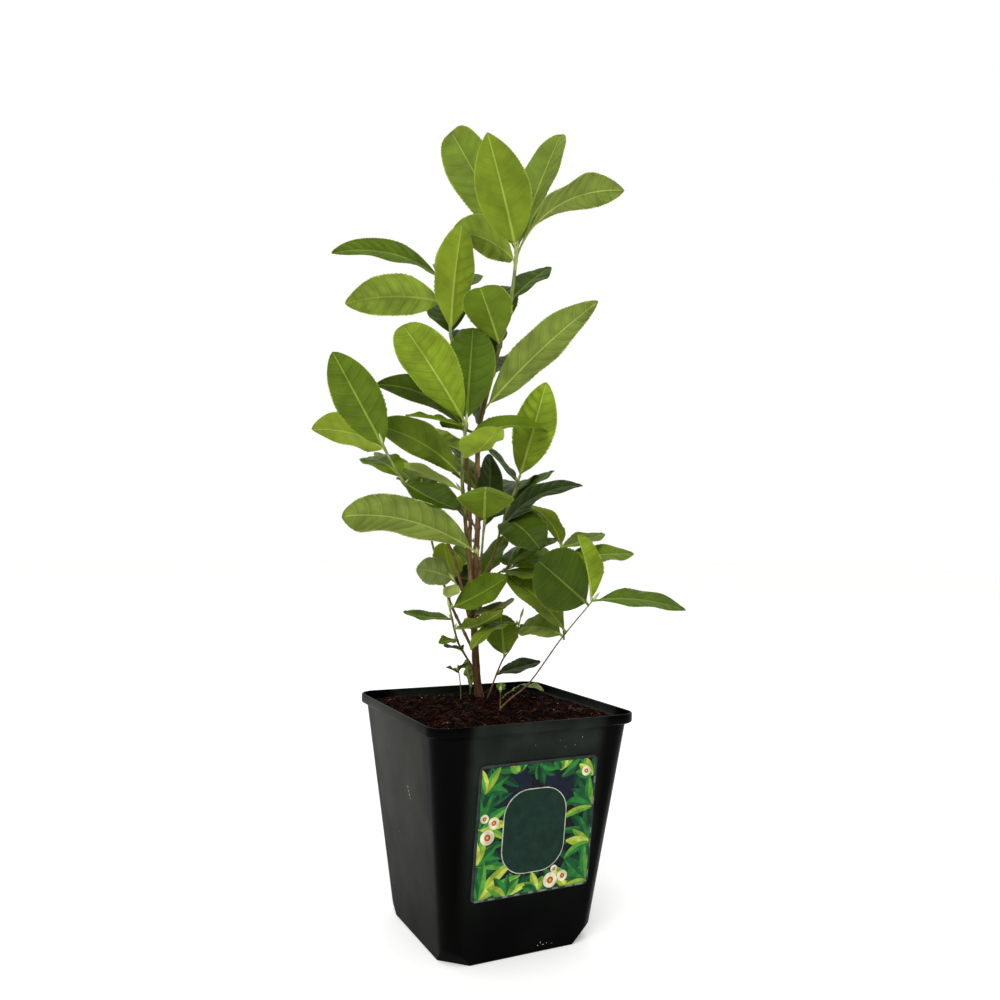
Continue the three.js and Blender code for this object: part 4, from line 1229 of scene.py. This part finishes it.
def pot_material():
    """Moulded polypropylene: black with a soft sheen. A thin green-grey film, partly dust and partly
    painted reflection, lies on its faces: thicker towards the rim as painted light, warmer on the left
    wall as painted light from the left, and left off the corners, which stay dark as painted shade."""
    material, tree, shader, place = blank("moulded_polypropylene", {"IOR": 1.49})
    x, y, z = add(tree, "ShaderNodeSeparateXYZ", {"Vector": place}).outputs
    wide = add(tree, "ShaderNodeMath", {0: x}, operation="ABSOLUTE").outputs[0]
    deep = add(tree, "ShaderNodeMath", {0: y}, operation="ABSOLUTE").outputs[0]
    along = add(tree, "ShaderNodeMath", {0: wide, 1: deep}, operation="MINIMUM").outputs[0]
    # painted shade: the film fades out towards the rounded corners
    ends = {"Value": along, **from_to(*DUST_ENDS)}
    face = add(tree, "ShaderNodeMapRange", ends, interpolation_type="SMOOTHSTEP").outputs[0]
    # painted reflection: the film thickens towards the rim, so the walls are painted lighter at the top
    heights = {"Value": z, **from_to(*DUST_HEIGHTS), "To Min": 0.1}
    high = add(tree, "ShaderNodeMapRange", heights).outputs[0]
    film = add(tree, "ShaderNodeMath", {0: face, 1: high}, operation="MULTIPLY").outputs[0]
    # painted light from the left: the left wall's film is warmer and lighter
    left = add(tree, "ShaderNodeMapRange", {"Value": x, **from_to(*LEFT_WALL)}).outputs[0]
    fresh_dust = mottled(tree, place, ["#141915", "#1d221e", "#272c27"], size=30, detail=6)
    old_dust = mottled(tree, place, ["#16160f", "#1e1e16", "#27271d"], size=30, detail=6)
    kinds = {0: left, 6: fresh_dust, 7: old_dust}
    # dust and painted light: the left wall's film mixed in over the rest
    dust = add(tree, "ShaderNodeMix", kinds, data_type="RGBA").outputs[2]
    # the black plastic under the film of dust, painted reflection and painted shade
    layers = {0: film, 6: linear("#020202"), 7: dust}
    colour = add(tree, "ShaderNodeMix", layers, data_type="RGBA").outputs[2]
    tree.links.new(colour, shader.inputs["Base Color"])
    sheen = {"Value": z, **from_to(*SHEEN_HEIGHTS), "To Min": 0.012, "To Max": 0.027}
    gloss = add(tree, "ShaderNodeMapRange", sheen).outputs[0]
    tree.links.new(gloss, shader.inputs["Specular IOR Level"])
    patches = {"Vector": place, "Scale": per(WEAR_SIZE), "Detail": 8}
    wear = add(tree, "ShaderNodeTexNoise", patches).outputs["Fac"]
    worn = {"Value": wear, "To Min": 0.25, "To Max": 0.45}
    roughness = add(tree, "ShaderNodeMapRange", worn).outputs[0]
    tree.links.new(roughness, shader.inputs["Roughness"])
    grained(tree, shader, place, size=1.2, detail=2, strength=0.1, depth=0.05)
    return material


POT_PLASTIC = pot_material()
LIP = 0.5  # rounding of the rim's outer top edge
LIP_MIDDLE = 0.15
FOOT_ROUND = 0.6
MOUTH_ROUND = 0.3
BEVEL_WALL = WALL * 1.6  # the wall's thickness across a bevelled corner
INNER_RADIUS = CORNER_RADIUS - WALL
MOUTH_HALF = RIM_HALF - WALL

# The pot's outside and its cavity, as rings: half the width, the corner's radius and the height.
OUTSIDE = [
    (FOOT_HALF - FOOT_ROUND, CORNER_RADIUS - FOOT_ROUND, 0),
    (body_half(FOOT_ROUND), CORNER_RADIUS, FOOT_ROUND),
    (body_half(BODY_TOP - 0.4), CORNER_RADIUS, BODY_TOP - 0.4),
    (BODY_TOP_HALF + 0.5, CORNER_RADIUS, BODY_TOP),
    (RIM_HALF - 0.7, CORNER_RADIUS, BODY_TOP + 0.8),
    (RIM_HALF - 0.1, CORNER_RADIUS, BODY_TOP + 1.4),
    (RIM_HALF, CORNER_RADIUS, BODY_TOP + 2),
    (RIM_HALF, CORNER_RADIUS, POT_HEIGHT - LIP),
    (RIM_HALF - LIP_MIDDLE, CORNER_RADIUS - LIP_MIDDLE, POT_HEIGHT - LIP_MIDDLE),
    (RIM_HALF - LIP, CORNER_RADIUS - LIP, POT_HEIGHT),
]
CAVITY = [
    (body_half(FLOOR) - WALL, INNER_RADIUS, FLOOR),
    (body_half(BODY_TOP) - WALL, INNER_RADIUS, BODY_TOP - 0.5),
    (MOUTH_HALF - 0.3, INNER_RADIUS, BODY_TOP + 1.6),
    (MOUTH_HALF, INNER_RADIUS, BODY_TOP + 2.6),
    (MOUTH_HALF, INNER_RADIUS, POT_HEIGHT - 0.35),
    (MOUTH_HALF + MOUTH_ROUND, INNER_RADIUS + MOUTH_ROUND, POT_HEIGHT),
    (MOUTH_HALF + MOUTH_ROUND, INNER_RADIUS + MOUTH_ROUND, POT_HEIGHT + 2),
]
HARD_EDGE = 32  # degrees
pot = loft_piece("nursery_pot", [square_ring(*ring) for ring in OUTSIDE], POT_PLASTIC)
cut(pot, cutters(0, True))
cavity = loft_piece("pot_cavity", [square_ring(*ring) for ring in CAVITY], POT_PLASTIC)
cut(cavity, cutters(BEVEL_WALL, False))
cut(pot, cavity)
smooth_by_angle(pot.data, HARD_EDGE)
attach(pot, "root")
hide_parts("pot")

# Small pale scuffs and specks: the face that each lies on, how far along it and how high, and
# its width and height.
SCUFFS = [
    ("left", -11.4, 93.6, 0.9, 1.9),
    ("left", -11.9, 91.2, 1.2, 1.3),
    ("left", -12.9, 89.3, 0.8, 1.8),
    ("left", -13.6, 87.4, 0.5, 0.9),
    ("left", 34, 21, 0.5, 0.4),
    ("left", 12, 60, 0.3, 0.5),
    ("left", 22, 118, 0.5, 0.3),
    ("front", 9.6, 4.2, 1.1, 0.6),
    ("front", 11.2, 5.6, 0.5, 1.3),
    ("front", 13, 4.1, 1.6, 0.4),
    ("front", 15.5, 4.6, 0.7, 0.7),
    ("front", 19, 3.8, 1.3, 0.3),
    ("front", 14, 125.6, 0.5, 0.5),
    ("front", 18, 121.5, 0.4, 0.4),
    ("front", 24.4, 122, 0.6, 0.4),
    ("front", 29, 126.3, 0.4, 0.6),
    ("front", -2, 124, 0.4, 0.3),
]
SCUFF_LIFT = 0.06  # how far a scuff's raised burr stands proud of the wall
SCUFF_POINTS = 9


def scuff_material():
    """Polypropylene that a scrape has roughened and turned pale."""
    colours = ["#6f716b", "#a3a59e", "#c9cac3"]
    return plain_material("scuffed_polypropylene", colours, 0.8, {"Roughness": 0.85})


scuffs = Batch()
rng = np.random.default_rng(31)
turns = np.linspace(0, 2 * math.pi, SCUFF_POINTS, endpoint=False)
for face, along, z, width, height in SCUFFS:
    rings = []
    ragged = rng.uniform(0.55, 1.1, SCUFF_POINTS)
    for lift in (-SCUFF_LIFT, SCUFF_LIFT):
        ring = []
        for turn, reach in zip(turns, ragged):
            a = along + width * reach * math.cos(turn) / 2
            h = z + height * reach * math.sin(turn) / 2
            out = -body_half(h) - lift
            ring.append((a, out, h) if face == "front" else (out, a, h))
        rings.append(ring if face == "front" else ring[::-1])
    scuffs.add_loft(rings)
scuff_piece = scuffs.piece("pot_scuffs", [scuff_material()])
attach(scuff_piece, "root")

# ---------------------------------------------------------------- soil

SOIL_LEVEL_HALF = 34  # half the width of the level middle
SOIL_TURNS = 300
SOIL_STEP = 1.5
SOIL_HALF = body_half(BODY_TOP) - WALL - CLEARANCE
SOIL_FOOT = FLOOR + CLEARANCE
LUMPS = ((1.3, 17, 3), (0.9, 6, 7), (0.5, 2.4, 11))  # height, width, and the noise's own layer


def rounded_reach(angle, half, radius):
    """How far a square with rounded corners reaches from its middle in a direction."""
    c, s = abs(math.cos(angle)), abs(math.sin(angle))
    reach = half / max(c, s)
    inner = half - radius
    if min(c, s) * reach > inner:
        along = inner * (c + s)
        reach = along + math.sqrt(along**2 - 2 * inner**2 + radius**2)
    return reach


def soil_height(x, y):
    """The peat's surface: a level middle, a fall to the wall, and lumps of several sizes."""
    from_middle = max(abs(x), abs(y))
    fall = min(1, max(0, (from_middle - SOIL_LEVEL_HALF) / (SOIL_HALF - SOIL_LEVEL_HALF)))
    lumps = sum(high * noise.noise(Vector((x / wide, y / wide, layer))) for high, wide, layer in LUMPS)
    return SOIL_LEVEL - SOIL_CROWN * fall + lumps


def peat_material(name, colours, size, roughness=0.95, gloss=0.04):
    """Moist peat: dark red-brown, crumbly, matt but for its wet fibres."""
    finish = {"Roughness": roughness, "Specular IOR Level": gloss}
    material, tree, shader, place = blank(name, finish)
    colour = mottled(tree, place, colours, size, detail=6, low=0.42, high=0.72)
    tree.links.new(colour, shader.inputs["Base Color"])
    grained(tree, shader, place, size=0.8, detail=6, strength=0.9, depth=0.5)
    return material


PEAT = peat_material("peat", ["#060201", "#120602", "#270f05"], 3)
CRUMB = peat_material("peat_crumbs", ["#0a0301", "#1f0b04", "#45190a"], 6)
FIBRE = peat_material("peat_fibres", ["#160703", "#36180b", "#8a563a"], 8, roughness=0.6, gloss=0.2)
PERLITE = peat_material("perlite", ["#8a7f66", "#b3aa97", "#d0cbbf"], 6)

turns = [2 * math.pi * i / SOIL_TURNS for i in range(SOIL_TURNS)]
reaches = [rounded_reach(turn, SOIL_HALF, CORNER_RADIUS - WALL - CLEARANCE) for turn in turns]
foot_reach = body_half(SOIL_FOOT) / body_half(BODY_TOP) * 0.94
ring_count = round(SOIL_HALF / SOIL_STEP)


def soil_ring(scale, z=None):
    """A ring at a share of the peat's reach, at one height or on the lumpy surface."""
    ring = []
    for turn, reach in zip(turns, reaches):
        x = scale * reach * math.cos(turn)
        y = scale * reach * math.sin(turn)
        ring.append((x, y, soil_height(x, y) if z is None else z))
    return ring


soil_sides = [
    soil_ring(0.05, SOIL_FOOT),
    soil_ring(foot_reach * 0.8, SOIL_FOOT),
    soil_ring(foot_reach, 14),
    soil_ring(1, BODY_TOP - 2),
]
soil_surface = [soil_ring(k / ring_count) for k in range(ring_count, 0, -1)]
soil = loft_piece("peat_soil", soil_sides + soil_surface, PEAT)
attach(soil, "root")
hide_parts("potting_soil")


CRUMB_SIDES = np.array([1, 0.8, 0.6])
FIBRE_HALF = 0.028
FIBRE_POINTS = 6


def crumb_shape(name, seed):
    """An irregular lump of peat, about one millimetre long."""
    rng = np.random.default_rng(seed)
    mesh = bpy.data.meshes.new(name)
    work = bmesh.new()
    bmesh.ops.create_icosphere(work, subdivisions=1, radius=0.5 * MM)
    for vertex in work.verts:
        vertex.co = Vector(np.array(vertex.co) * CRUMB_SIDES * (0.65 + 0.7 * rng.random()))
    work.to_mesh(mesh)
    work.free()
    return bpy.data.objects.new(name, mesh)


def fibre_shape(name, seed):
    """A thin curling strand of peat moss, one millimetre long."""
    rng = np.random.default_rng(seed)
    bend = rng.uniform(-1, 1, (2, 3)) * 0.35
    shares = np.linspace(-0.5, 0.5, FIBRE_POINTS)
    line = np.zeros((FIBRE_POINTS, 3))
    line[:, 0] = shares
    line += np.outer(np.sin(shares * math.pi), bend[0]) * 0.5
    line += np.outer(np.cos(shares * 2 * math.pi), bend[1]) * 0.35
    points, faces, *_ = stem_mesh(line, FIBRE_HALF * (1 - 1.2 * shares**2), 4, 0, 0)
    mesh = bpy.data.meshes.new(name)
    mesh.from_pydata((points * MM).tolist(), [], faces)
    return bpy.data.objects.new(name, mesh)


# Geometry Nodes count by the square metre, and scale shapes that are a millimetre long.
def scatter_tree(shapes, material, tilt):
    """Geometry Nodes that strew shapes over a surface: so many a square metre, turned at random
    and tilted up to an angle, sized between two scales."""
    tree = bpy.data.node_groups.new("strewn", "GeometryNodeTree")
    tree.is_modifier = True
    face = tree.interface
    face.new_socket("Geometry", in_out="INPUT", socket_type="NodeSocketGeometry")
    sockets = {}
    for name in ("Density", "Smallest", "Largest"):
        sockets[name] = face.new_socket(name, in_out="INPUT", socket_type="NodeSocketFloat")
    sockets["Seed"] = face.new_socket("Seed", in_out="INPUT", socket_type="NodeSocketInt")
    face.new_socket("Geometry", in_out="OUTPUT", socket_type="NodeSocketGeometry")
    given = add(tree, "NodeGroupInput").outputs
    ground = {"Mesh": given["Geometry"], "Density": given["Density"], "Seed": given["Seed"]}
    points = add(tree, "GeometryNodeDistributePointsOnFaces", ground)
    family = bpy.data.collections.new("strewn_shapes")
    for shape in shapes:
        family.objects.link(shape)
    every = {"Collection": family, "Separate Children": True, "Reset Children": True}
    shape_info = add(tree, "GeometryNodeCollectionInfo", every)
    turns = {0: (-tilt, -tilt, 0), 1: (tilt, tilt, 2 * math.pi), "Seed": given["Seed"]}
    turn = add(tree, "FunctionNodeRandomValue", turns, data_type="FLOAT_VECTOR")
    sizes = {2: given["Smallest"], 3: given["Largest"], "Seed": given["Seed"]}
    size = add(tree, "FunctionNodeRandomValue", sizes, data_type="FLOAT")
    placed = {
        "Points": points.outputs["Points"],
        "Instance": shape_info.outputs[0],
        "Pick Instance": True,
        "Rotation": turn.outputs[0],
        "Scale": size.outputs[1],
    }
    strewn = add(tree, "GeometryNodeInstanceOnPoints", placed).outputs["Instances"]
    real = add(tree, "GeometryNodeRealizeInstances", {"Geometry": strewn}).outputs["Geometry"]
    finish = {"Geometry": real, "Material": material}
    painted = add(tree, "GeometryNodeSetMaterial", finish).outputs["Geometry"]
    add(tree, "NodeGroupOutput", {"Geometry": painted})
    return tree, {name: socket.identifier for name, socket in sockets.items()}


def strew(name, shapes, material, tilt, margin, **values):
    """Covers the peat's surface with one kind of thing, up to so many millimetres from the wall,
    as a plain mesh piece."""
    rings = soil_surface[round(margin / SOIL_STEP) :]
    ground = new_piece(name, np.array(rings).reshape(-1, 3), ring_faces(rings), [])
    tree, identifiers = scatter_tree(shapes, material, tilt)
    modifier = ground.modifiers.new("strewn", "NODES")
    modifier.node_group = tree
    for key, value in values.items():
        modifier[identifiers[key]] = value
    evaluated = ground.evaluated_get(bpy.context.evaluated_depsgraph_get())
    mesh = bpy.data.meshes.new_from_object(evaluated)
    ground.modifiers.remove(modifier)
    ground.data = mesh
    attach(ground, "root")


crumbs = [crumb_shape(f"crumb_{i}", 20 + i) for i in range(4)]
amounts = dict(Density=400000.0, Smallest=0.5, Largest=2.6, Seed=5)
strew("peat_crumbs", crumbs, CRUMB, tilt=math.pi, margin=2, **amounts)
fibres = [fibre_shape(f"fibre_{i}", 40 + i) for i in range(5)]
amounts = dict(Density=60000.0, Smallest=3.0, Largest=8.5, Seed=9)
strew("peat_fibres", fibres, FIBRE, tilt=0.25, margin=6, **amounts)
grains = [crumb_shape(f"grain_{i}", 60 + i) for i in range(3)]
amounts = dict(Density=1500.0, Smallest=0.6, Largest=1.8, Seed=4)
strew("perlite_grains", grains, PERLITE, tilt=math.pi, margin=4, **amounts)

# ---------------------------------------------------------------- label

LABEL_WIDTH = 77
LABEL_HEIGHT = 79
LABEL_X = 1.8
LABEL_Z = 76
LABEL_CORNER = 3.5
LABEL_THICKNESS = 0.4
LABEL_LEAN = math.atan((BODY_TOP_HALF - FOOT_HALF) / BODY_TOP)
FILM = CLEARANCE + LABEL_THICKNESS  # height of the film's face above the pot's wall
INK = 0.02  # height of one printed layer
INK_DEPTH = 0.1  # how far a printed shape is sunk into the film


def on_label(u, w, n):
    """The point u along the label, w up it and n out from the wall."""
    return (
        LABEL_X + u,
        -body_half(LABEL_Z) - w * math.sin(LABEL_LEAN) - n * math.cos(LABEL_LEAN),
        LABEL_Z + w * math.cos(LABEL_LEAN) - n * math.sin(LABEL_LEAN),
    )


def printed(colour, name):
    """Ink under a clear gloss film, with a faint unevenness of the print."""
    finish = {"Roughness": 0.3, "IOR": 1.45, "Specular IOR Level": 0.12}
    material, tree, shader, place = blank(name, finish)
    colours = [shaded(colour, 0.85), colour, shaded(colour, 1.12)]
    colour = mottled(tree, place, colours, size=5, detail=4)
    tree.links.new(colour, shader.inputs["Base Color"])
    grained(tree, shader, place, size=9, detail=2, strength=0.15, depth=0.2)
    return material


INKS = {
    "film_edge": "#2c3431",
    "ground": "#080f10",
    "navy": "#0d1826",
    "panel": "#0e2a21",
    "line": "#b4baa4",
    "night": "#0d3320",
    "forest": "#14502a",
    "green": "#27702e",
    "leaf": "#4f9032",
    "lime": "#8ba230",
    "straw": "#b2bc50",
    "cream": "#d6d0b2",
    "orange": "#b24f1f",
    "worn": "#6d736c",
}
ink_names = list(INKS)
ink_materials = [printed(colour, f"label_{name}_ink") for name, colour in INKS.items()]
label_batch = Batch()


def slab(outline, low, high, ink):
    """A flat shape of one colour, given its outline anticlockwise as (u, w)."""
    rings = [[on_label(u, w, n) for u, w in outline] for n in (low, high)]
    label_batch.add_loft(rings, ink_names.index(ink))


def ink_layer(outline, level, ink):
    """A printed shape, whose level is its height above the film, in layers of ink."""
    slab(outline, FILM - INK_DEPTH, FILM + level * INK, ink)


PRINT_MARGIN = 1.6  # clear film round the print
PRINT_U = LABEL_WIDTH / 2 - PRINT_MARGIN
PRINT_W = LABEL_HEIGHT / 2 - PRINT_MARGIN
GRASS_STEPS = 7


def grass_blade(u, w, turn, length, width, bend, level, inks):
    """A curved, tapering blade of grass, in one ink on either side of its midline."""
    x, y, heading = u, w, turn
    left, middle, right = [], [], []
    for step in range(GRASS_STEPS + 1):
        share = step / GRASS_STEPS
        half = width / 2 * math.sin(math.pi * (0.12 + 0.85 * share)) ** 0.8
        nx, ny = -math.sin(heading), math.cos(heading)
        left.append((x + nx * half, y + ny * half))
        middle.append((x, y))
        right.append((x - nx * half, y - ny * half))
        x += math.cos(heading) * length / GRASS_STEPS
        y += math.sin(heading) * length / GRASS_STEPS
        heading += bend / GRASS_STEPS
    for side, ink in ((middle + left[::-1], inks[0]), (right + middle[::-1], inks[1])):
        held = [(min(max(a, -PRINT_U), PRINT_U), min(max(b, -PRINT_W), PRINT_W)) for a, b in side]
        ink_layer(held, level, ink)


def disc(u, w, size, level, ink):
    """A round printed spot."""
    ink_layer(rounded_outline(2 * size, 2 * size, size, centre=(u, w)), level, ink)


slab(rounded_outline(LABEL_WIDTH, LABEL_HEIGHT, LABEL_CORNER), CLEARANCE, FILM, "film_edge")
ink_layer(rounded_outline(2 * PRINT_U, 2 * PRINT_W, 2), 1, "ground")
for centre in ((19, 25), (-20, -22), (-20, 25)):
    ink_layer(rounded_outline(30, 24, 9, centre=centre), 2, "navy")

# Fans of grass: where each springs from, the way it points, its blades and their length.
BACK_FANS = [
    (-37, -28, 40, 6, 24),
    (-37, -8, 20, 6, 22),
    (-37, 14, 30, 6, 22),
    (-30, 38, -50, 6, 20),
    (37, -27, 140, 6, 24),
    (37, -6, 160, 6, 22),
    (37, 15, 150, 6, 22),
    (28, 38, -120, 6, 20),
    (-10, -39, 90, 6, 17),
    (18, -39, 85, 6, 17),
    (0, 38, -90, 6, 13),
]
FRONT_FANS = [
    (-35, -38, 60, 6, 30),
    (-37, -17, 40, 5, 21),
    (-37, 4, 35, 5, 20),
    (-35, 24, 60, 5, 17),
    (-18, -39, 80, 5, 18),
    (3, -39, 100, 5, 13),
    (22, -39, 75, 5, 16),
    (36, -37, 118, 6, 28),
    (37, -14, 140, 5, 21),
    (36, 8, 130, 5, 21),
    (35, 27, 125, 4, 14),
    (-14, 34, 100, 4, 9),
    (13, 33, 70, 4, 10),
]
BACK_INKS = (("night", "forest"), ("forest", "night"), ("forest", "green"))
FRONT_INKS = (
    ("forest", "green"),
    ("green", "leaf"),
    ("leaf", "lime"),
    ("green", "forest"),
    ("lime", "straw"),
)
BACK_LEVEL = 3
FRONT_LEVEL = 10
BLADE_SPREAD = 24  # degrees between two blades of a fan
rng = np.random.default_rng(12)
for fans, inks, first in ((BACK_FANS, BACK_INKS, BACK_LEVEL), (FRONT_FANS, FRONT_INKS, FRONT_LEVEL)):
    for number, (u, w, way, blades, length) in enumerate(fans):
        for i in range(blades):
            spread = (i - (blades - 1) / 2) * BLADE_SPREAD
            turn = math.radians(way + spread + rng.uniform(-6, 6))
            reach = length * rng.uniform(0.7, 1.1)
            bend = math.radians(spread * 0.8 + rng.uniform(-15, 15))
            ink = inks[(i * 2 + number) % len(inks)]
            level = first + i + 0.2 * number / len(fans)
            grass_blade(u, w, turn, reach, rng.uniform(4, 6.2), bend, level, ink)

PANEL_MIDDLE = (-1, -1.5)
ink_layer(rounded_outline(41, 50, 15.5, 10, PANEL_MIDDLE), 17, "line")
ink_layer(rounded_outline(40, 49, 15, 10, PANEL_MIDDLE), 18, "panel")
# Round white berries with an orange eye, in two clusters and one apart: each one's place and
# half its width.
BERRIES = [
    (-31, -2, 4.4),
    (-27.5, 6, 3.4),
    (-33.5, 9, 2.6),
    (12, -33, 4.6),
    (20, -31.5, 3.3),
    (14, -26.5, 2.2),
    (31, 30.5, 3),
]
for u, w, size in BERRIES:
    disc(u, w, size, 20, "cream")
    disc(u, w, size * 0.45, 21, "orange")
    disc(u, w, size * 0.16, 22, "straw")
# The film's rim, worn pale in dashes along the lower edge and the right edge.
for k in range(9):
    u = -33 + 8.2 * k + rng.uniform(-1, 1)
    dash = rounded_outline(rng.uniform(3, 6.4), 1.1, 0.4, 2, (u, -PRINT_W - 0.7))
    ink_layer(dash, 1.5, "worn")
for k in range(5):
    w = -30 + 13 * k + rng.uniform(-3, 3)
    dash = rounded_outline(0.8, rng.uniform(3, 8), 0.35, 2, (PRINT_U + 0.7, w))
    ink_layer(dash, 1.5, "worn")
label = label_batch.piece("label_film", ink_materials)
label.data.shade_flat()
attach(label, "root")
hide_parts("pot_label")

# ---------------------------------------------------------------- floor, light and view

bpy.context.scene.view_settings.view_transform = "Standard"

FLOOR_REACH = 8000
WHITE = (1, 1, 1, 1)
floor_paper, *_ = blank(
    "white_paper",
    {
        "Base Color": linear("#fbfbfa"),
        "Roughness": 0.9,
        "Emission Color": WHITE,
        "Emission Strength": 0.25,
    },
)
floor_corners = [(x * FLOOR_REACH, y * FLOOR_REACH, 0) for x, y in ((-1, -1), (1, -1), (1, 1), (-1, 1))]
floor = new_piece("floor", floor_corners, [(0, 1, 2, 3)], [floor_paper], smooth=False)
floor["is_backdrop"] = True

world = bpy.data.worlds.new("studio")
world.use_nodes = True
bpy.context.scene.world = world
studio = world.node_tree
background = studio.nodes["Background"]
background.inputs["Color"].default_value = WHITE
way = add(studio, "ShaderNodeTexCoord").outputs["Generated"]
_, back, _ = add(studio, "ShaderNodeSeparateXYZ", {"Vector": way}).outputs
# The room is dimmer behind the camera than behind the plant, and plain white where it is seen.
dimming = {"Value": back, "From Min": -0.9, "From Max": 0.6, "To Min": 0.42}
depth = add(studio, "ShaderNodeMapRange", dimming, interpolation_type="SMOOTHSTEP")
seen = add(studio, "ShaderNodeLightPath").outputs["Is Camera Ray"]
strength = add(studio, "ShaderNodeMix", {0: seen, 2: depth.outputs["Result"], 3: 1.0})
studio.links.new(strength.outputs[0], background.inputs["Strength"])


def soft_box(name, place, aim, size, power):
    """A square studio light, in metres and watts."""
    light = bpy.data.lights.new(name, "AREA")
    light.shape = "SQUARE"
    light.size = size
    light.energy = power
    lamp = bpy.data.objects.new(name, light)
    lamp.location = place
    lamp.rotation_euler = (Vector(place) - Vector(aim)).to_track_quat("Z", "Y").to_euler()
    bpy.context.collection.objects.link(lamp)


CROWN_MIDDLE = (0, 0, 0.28)
soft_box("key_light", (-0.7, -1.1, 1.6), CROWN_MIDDLE, size=1.2, power=20)

# ---------------------------------------------------------------- bounds of the solids and of the scene

boxes = {"cad": cad_box, "visual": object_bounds()}
